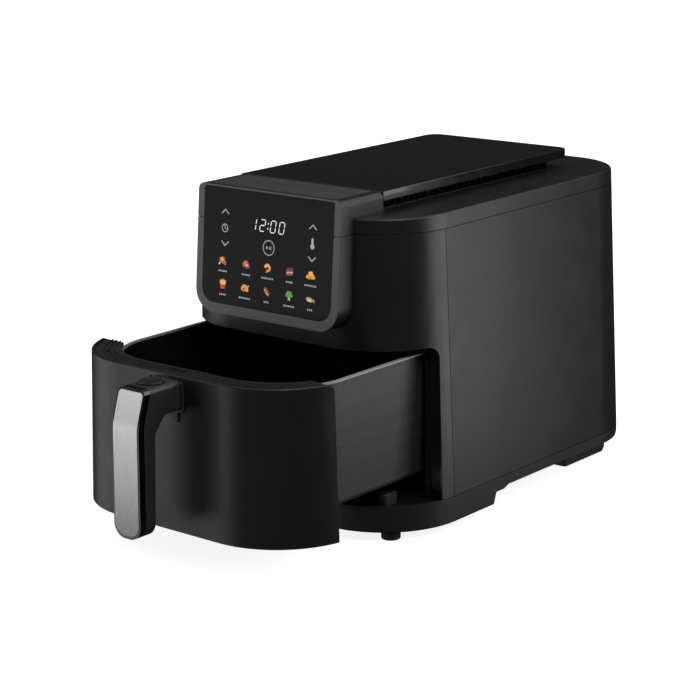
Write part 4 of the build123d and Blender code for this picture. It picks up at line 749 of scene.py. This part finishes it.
def make_floor():
    """Pale floor: a faint shadow close to the object, plain white further out."""
    bpy.ops.mesh.primitive_plane_add(size=FLOOR_SIZE, location=(0, 0, 0))
    floor = bpy.context.object
    floor.name = "studio_floor"
    finish = Finish("floor_white", (0.8, 0.8, 0.8, 1.0), 0.9)
    finish.shader.inputs["Specular IOR Level"].default_value = 0.0
    finish.shader.inputs["Emission Color"].default_value = (1.0, 1.0, 1.0, 1.0)
    distance = finish.node("ShaderNodeVectorMath", operation="LENGTH")
    finish.link(finish.coordinates.outputs["Object"], distance.inputs[0])
    glow = finish.spread(distance.outputs["Value"], 0.86, 1.0, SHADOW_RADIUS, WHITE_RADIUS)
    finish.link(glow, finish.shader.inputs["Emission Strength"])
    floor.data.materials.append(finish.material)
    floor.visible_glossy = False
    floor.visible_diffuse = False
    floor.visible_shadow = False


def softbox(name, place, target, width, height, radiance):
    """Rectangular soft light of an even brightness, turned to a target."""
    light = bpy.data.lights.new(name, "AREA")
    light.shape = "RECTANGLE"
    light.size = width
    light.size_y = height
    light.energy = radiance * math.pi * width * height
    lamp = bpy.data.objects.new(name, light)
    bpy.context.scene.collection.objects.link(lamp)
    lamp.location = place
    lamp.rotation_euler = (Vector(place) - Vector(target)).to_track_quat("Z", "Y").to_euler()
    lamp.visible_camera = False
    return lamp


def make_lights():
    """Softboxes: name, place, target, width, height and brightness."""
    softbox("right_box", (0.69, 0.385, 0.34), (0.14, -0.04, 0.2), 0.48, 1.0, 2.5)
    softbox("front_left_box", (-0.95, -1.2, -0.08), (0.0, -0.25, 0.1), 1.15, 0.8, 1.0)
    softbox("left_box", (-1.15, -0.5, 0.0), (0.0, -0.25, 0.1), 0.6, 0.8, 0.75)
    softbox("high_right_box", (0.95, -0.45, 1.3), (0.0, -0.2, 0.1), 0.7, 0.7, 3.5)
    softbox("upper_left_box", (-0.95, -1.2, 0.62), (0.0, -0.3, 0.15), 0.9, 0.42, 1.3)
    softbox("rim_box", (0.32, 0.62, 0.92), (0.0, -0.2, 0.15), 0.45, 0.35, 2.0)
    softbox("top_box", (0.0, -0.1, 1.7), (0.0, 0.0, 0.0), 1.6, 1.2, 0.3)


def make_world():
    """White to the camera; to everything else a dim fill, fading to the back and brighter overhead."""
    world = bpy.data.worlds.new("studio")
    bpy.context.scene.world = world
    world.use_nodes = True
    tree = world.node_tree
    tree.nodes.clear()
    output = tree.nodes.new("ShaderNodeOutputWorld")
    mix = tree.nodes.new("ShaderNodeMixShader")
    path = tree.nodes.new("ShaderNodeLightPath")
    direction = tree.nodes.new("ShaderNodeTexCoord")
    apart = tree.nodes.new("ShaderNodeSeparateXYZ")
    tree.links.new(direction.outputs["Generated"], apart.inputs["Vector"])
    fade = tree.nodes.new("ShaderNodeMapRange")
    fade.inputs["From Min"].default_value = -1.0
    fade.inputs["From Max"].default_value = 0.6
    fade.inputs["To Min"].default_value = FRONT_FILL
    fade.inputs["To Max"].default_value = BACK_FILL
    tree.links.new(apart.outputs["Y"], fade.inputs["Value"])
    overhead = tree.nodes.new("ShaderNodeMapRange")
    overhead.inputs["From Min"].default_value = 0.4
    overhead.inputs["From Max"].default_value = 0.9
    overhead.inputs["To Min"].default_value = 0.0
    overhead.inputs["To Max"].default_value = OVERHEAD_FILL
    tree.links.new(apart.outputs["Z"], overhead.inputs["Value"])
    total = tree.nodes.new("ShaderNodeMath")
    tree.links.new(fade.outputs["Result"], total.inputs[0])
    tree.links.new(overhead.outputs["Result"], total.inputs[1])
    fill = tree.nodes.new("ShaderNodeBackground")
    tree.links.new(total.outputs["Value"], fill.inputs["Strength"])
    backdrop = tree.nodes.new("ShaderNodeBackground")
    for background in (fill, backdrop):
        background.inputs["Color"].default_value = (1, 1, 1, 1)
    backdrop.inputs["Strength"].default_value = 1.0
    tree.links.new(path.outputs["Is Camera Ray"], mix.inputs["Fac"])
    tree.links.new(fill.outputs["Background"], mix.inputs[1])
    tree.links.new(backdrop.outputs["Background"], mix.inputs[2])
    tree.links.new(mix.outputs["Shader"], output.inputs["Surface"])


def make_camera():
    """Three-quarter view from the front right, a little above the object."""
    azimuth = math.radians(CAMERA_AZIMUTH)
    elevation = math.radians(CAMERA_ELEVATION)
    roll = math.radians(CAMERA_ROLL)
    level = math.cos(elevation)
    back = Vector((math.sin(azimuth) * level, -math.cos(azimuth) * level, math.sin(elevation)))
    right = (-back).cross(Vector((0, 0, 1))).normalized()
    up = right.cross(-back)
    turned_right = math.cos(roll) * right + math.sin(roll) * up
    turned_up = -math.sin(roll) * right + math.cos(roll) * up
    camera = bpy.data.objects.new("camera", bpy.data.cameras.new("camera"))
    bpy.context.scene.collection.objects.link(camera)
    camera.data.sensor_width = CAMERA_SENSOR
    camera.data.lens = CAMERA_LENS
    camera.data.clip_end = 50.0
    axes = Matrix((turned_right, turned_up, back)).transposed().to_4x4()
    camera.matrix_world = Matrix.Translation(CAMERA_PLACE) @ axes
    bpy.context.scene.camera = camera


paint_nodes()
print_display()
make_floor()
make_lights()
make_world()
make_camera()
bpy.context.scene.view_settings.view_transform = "Standard"
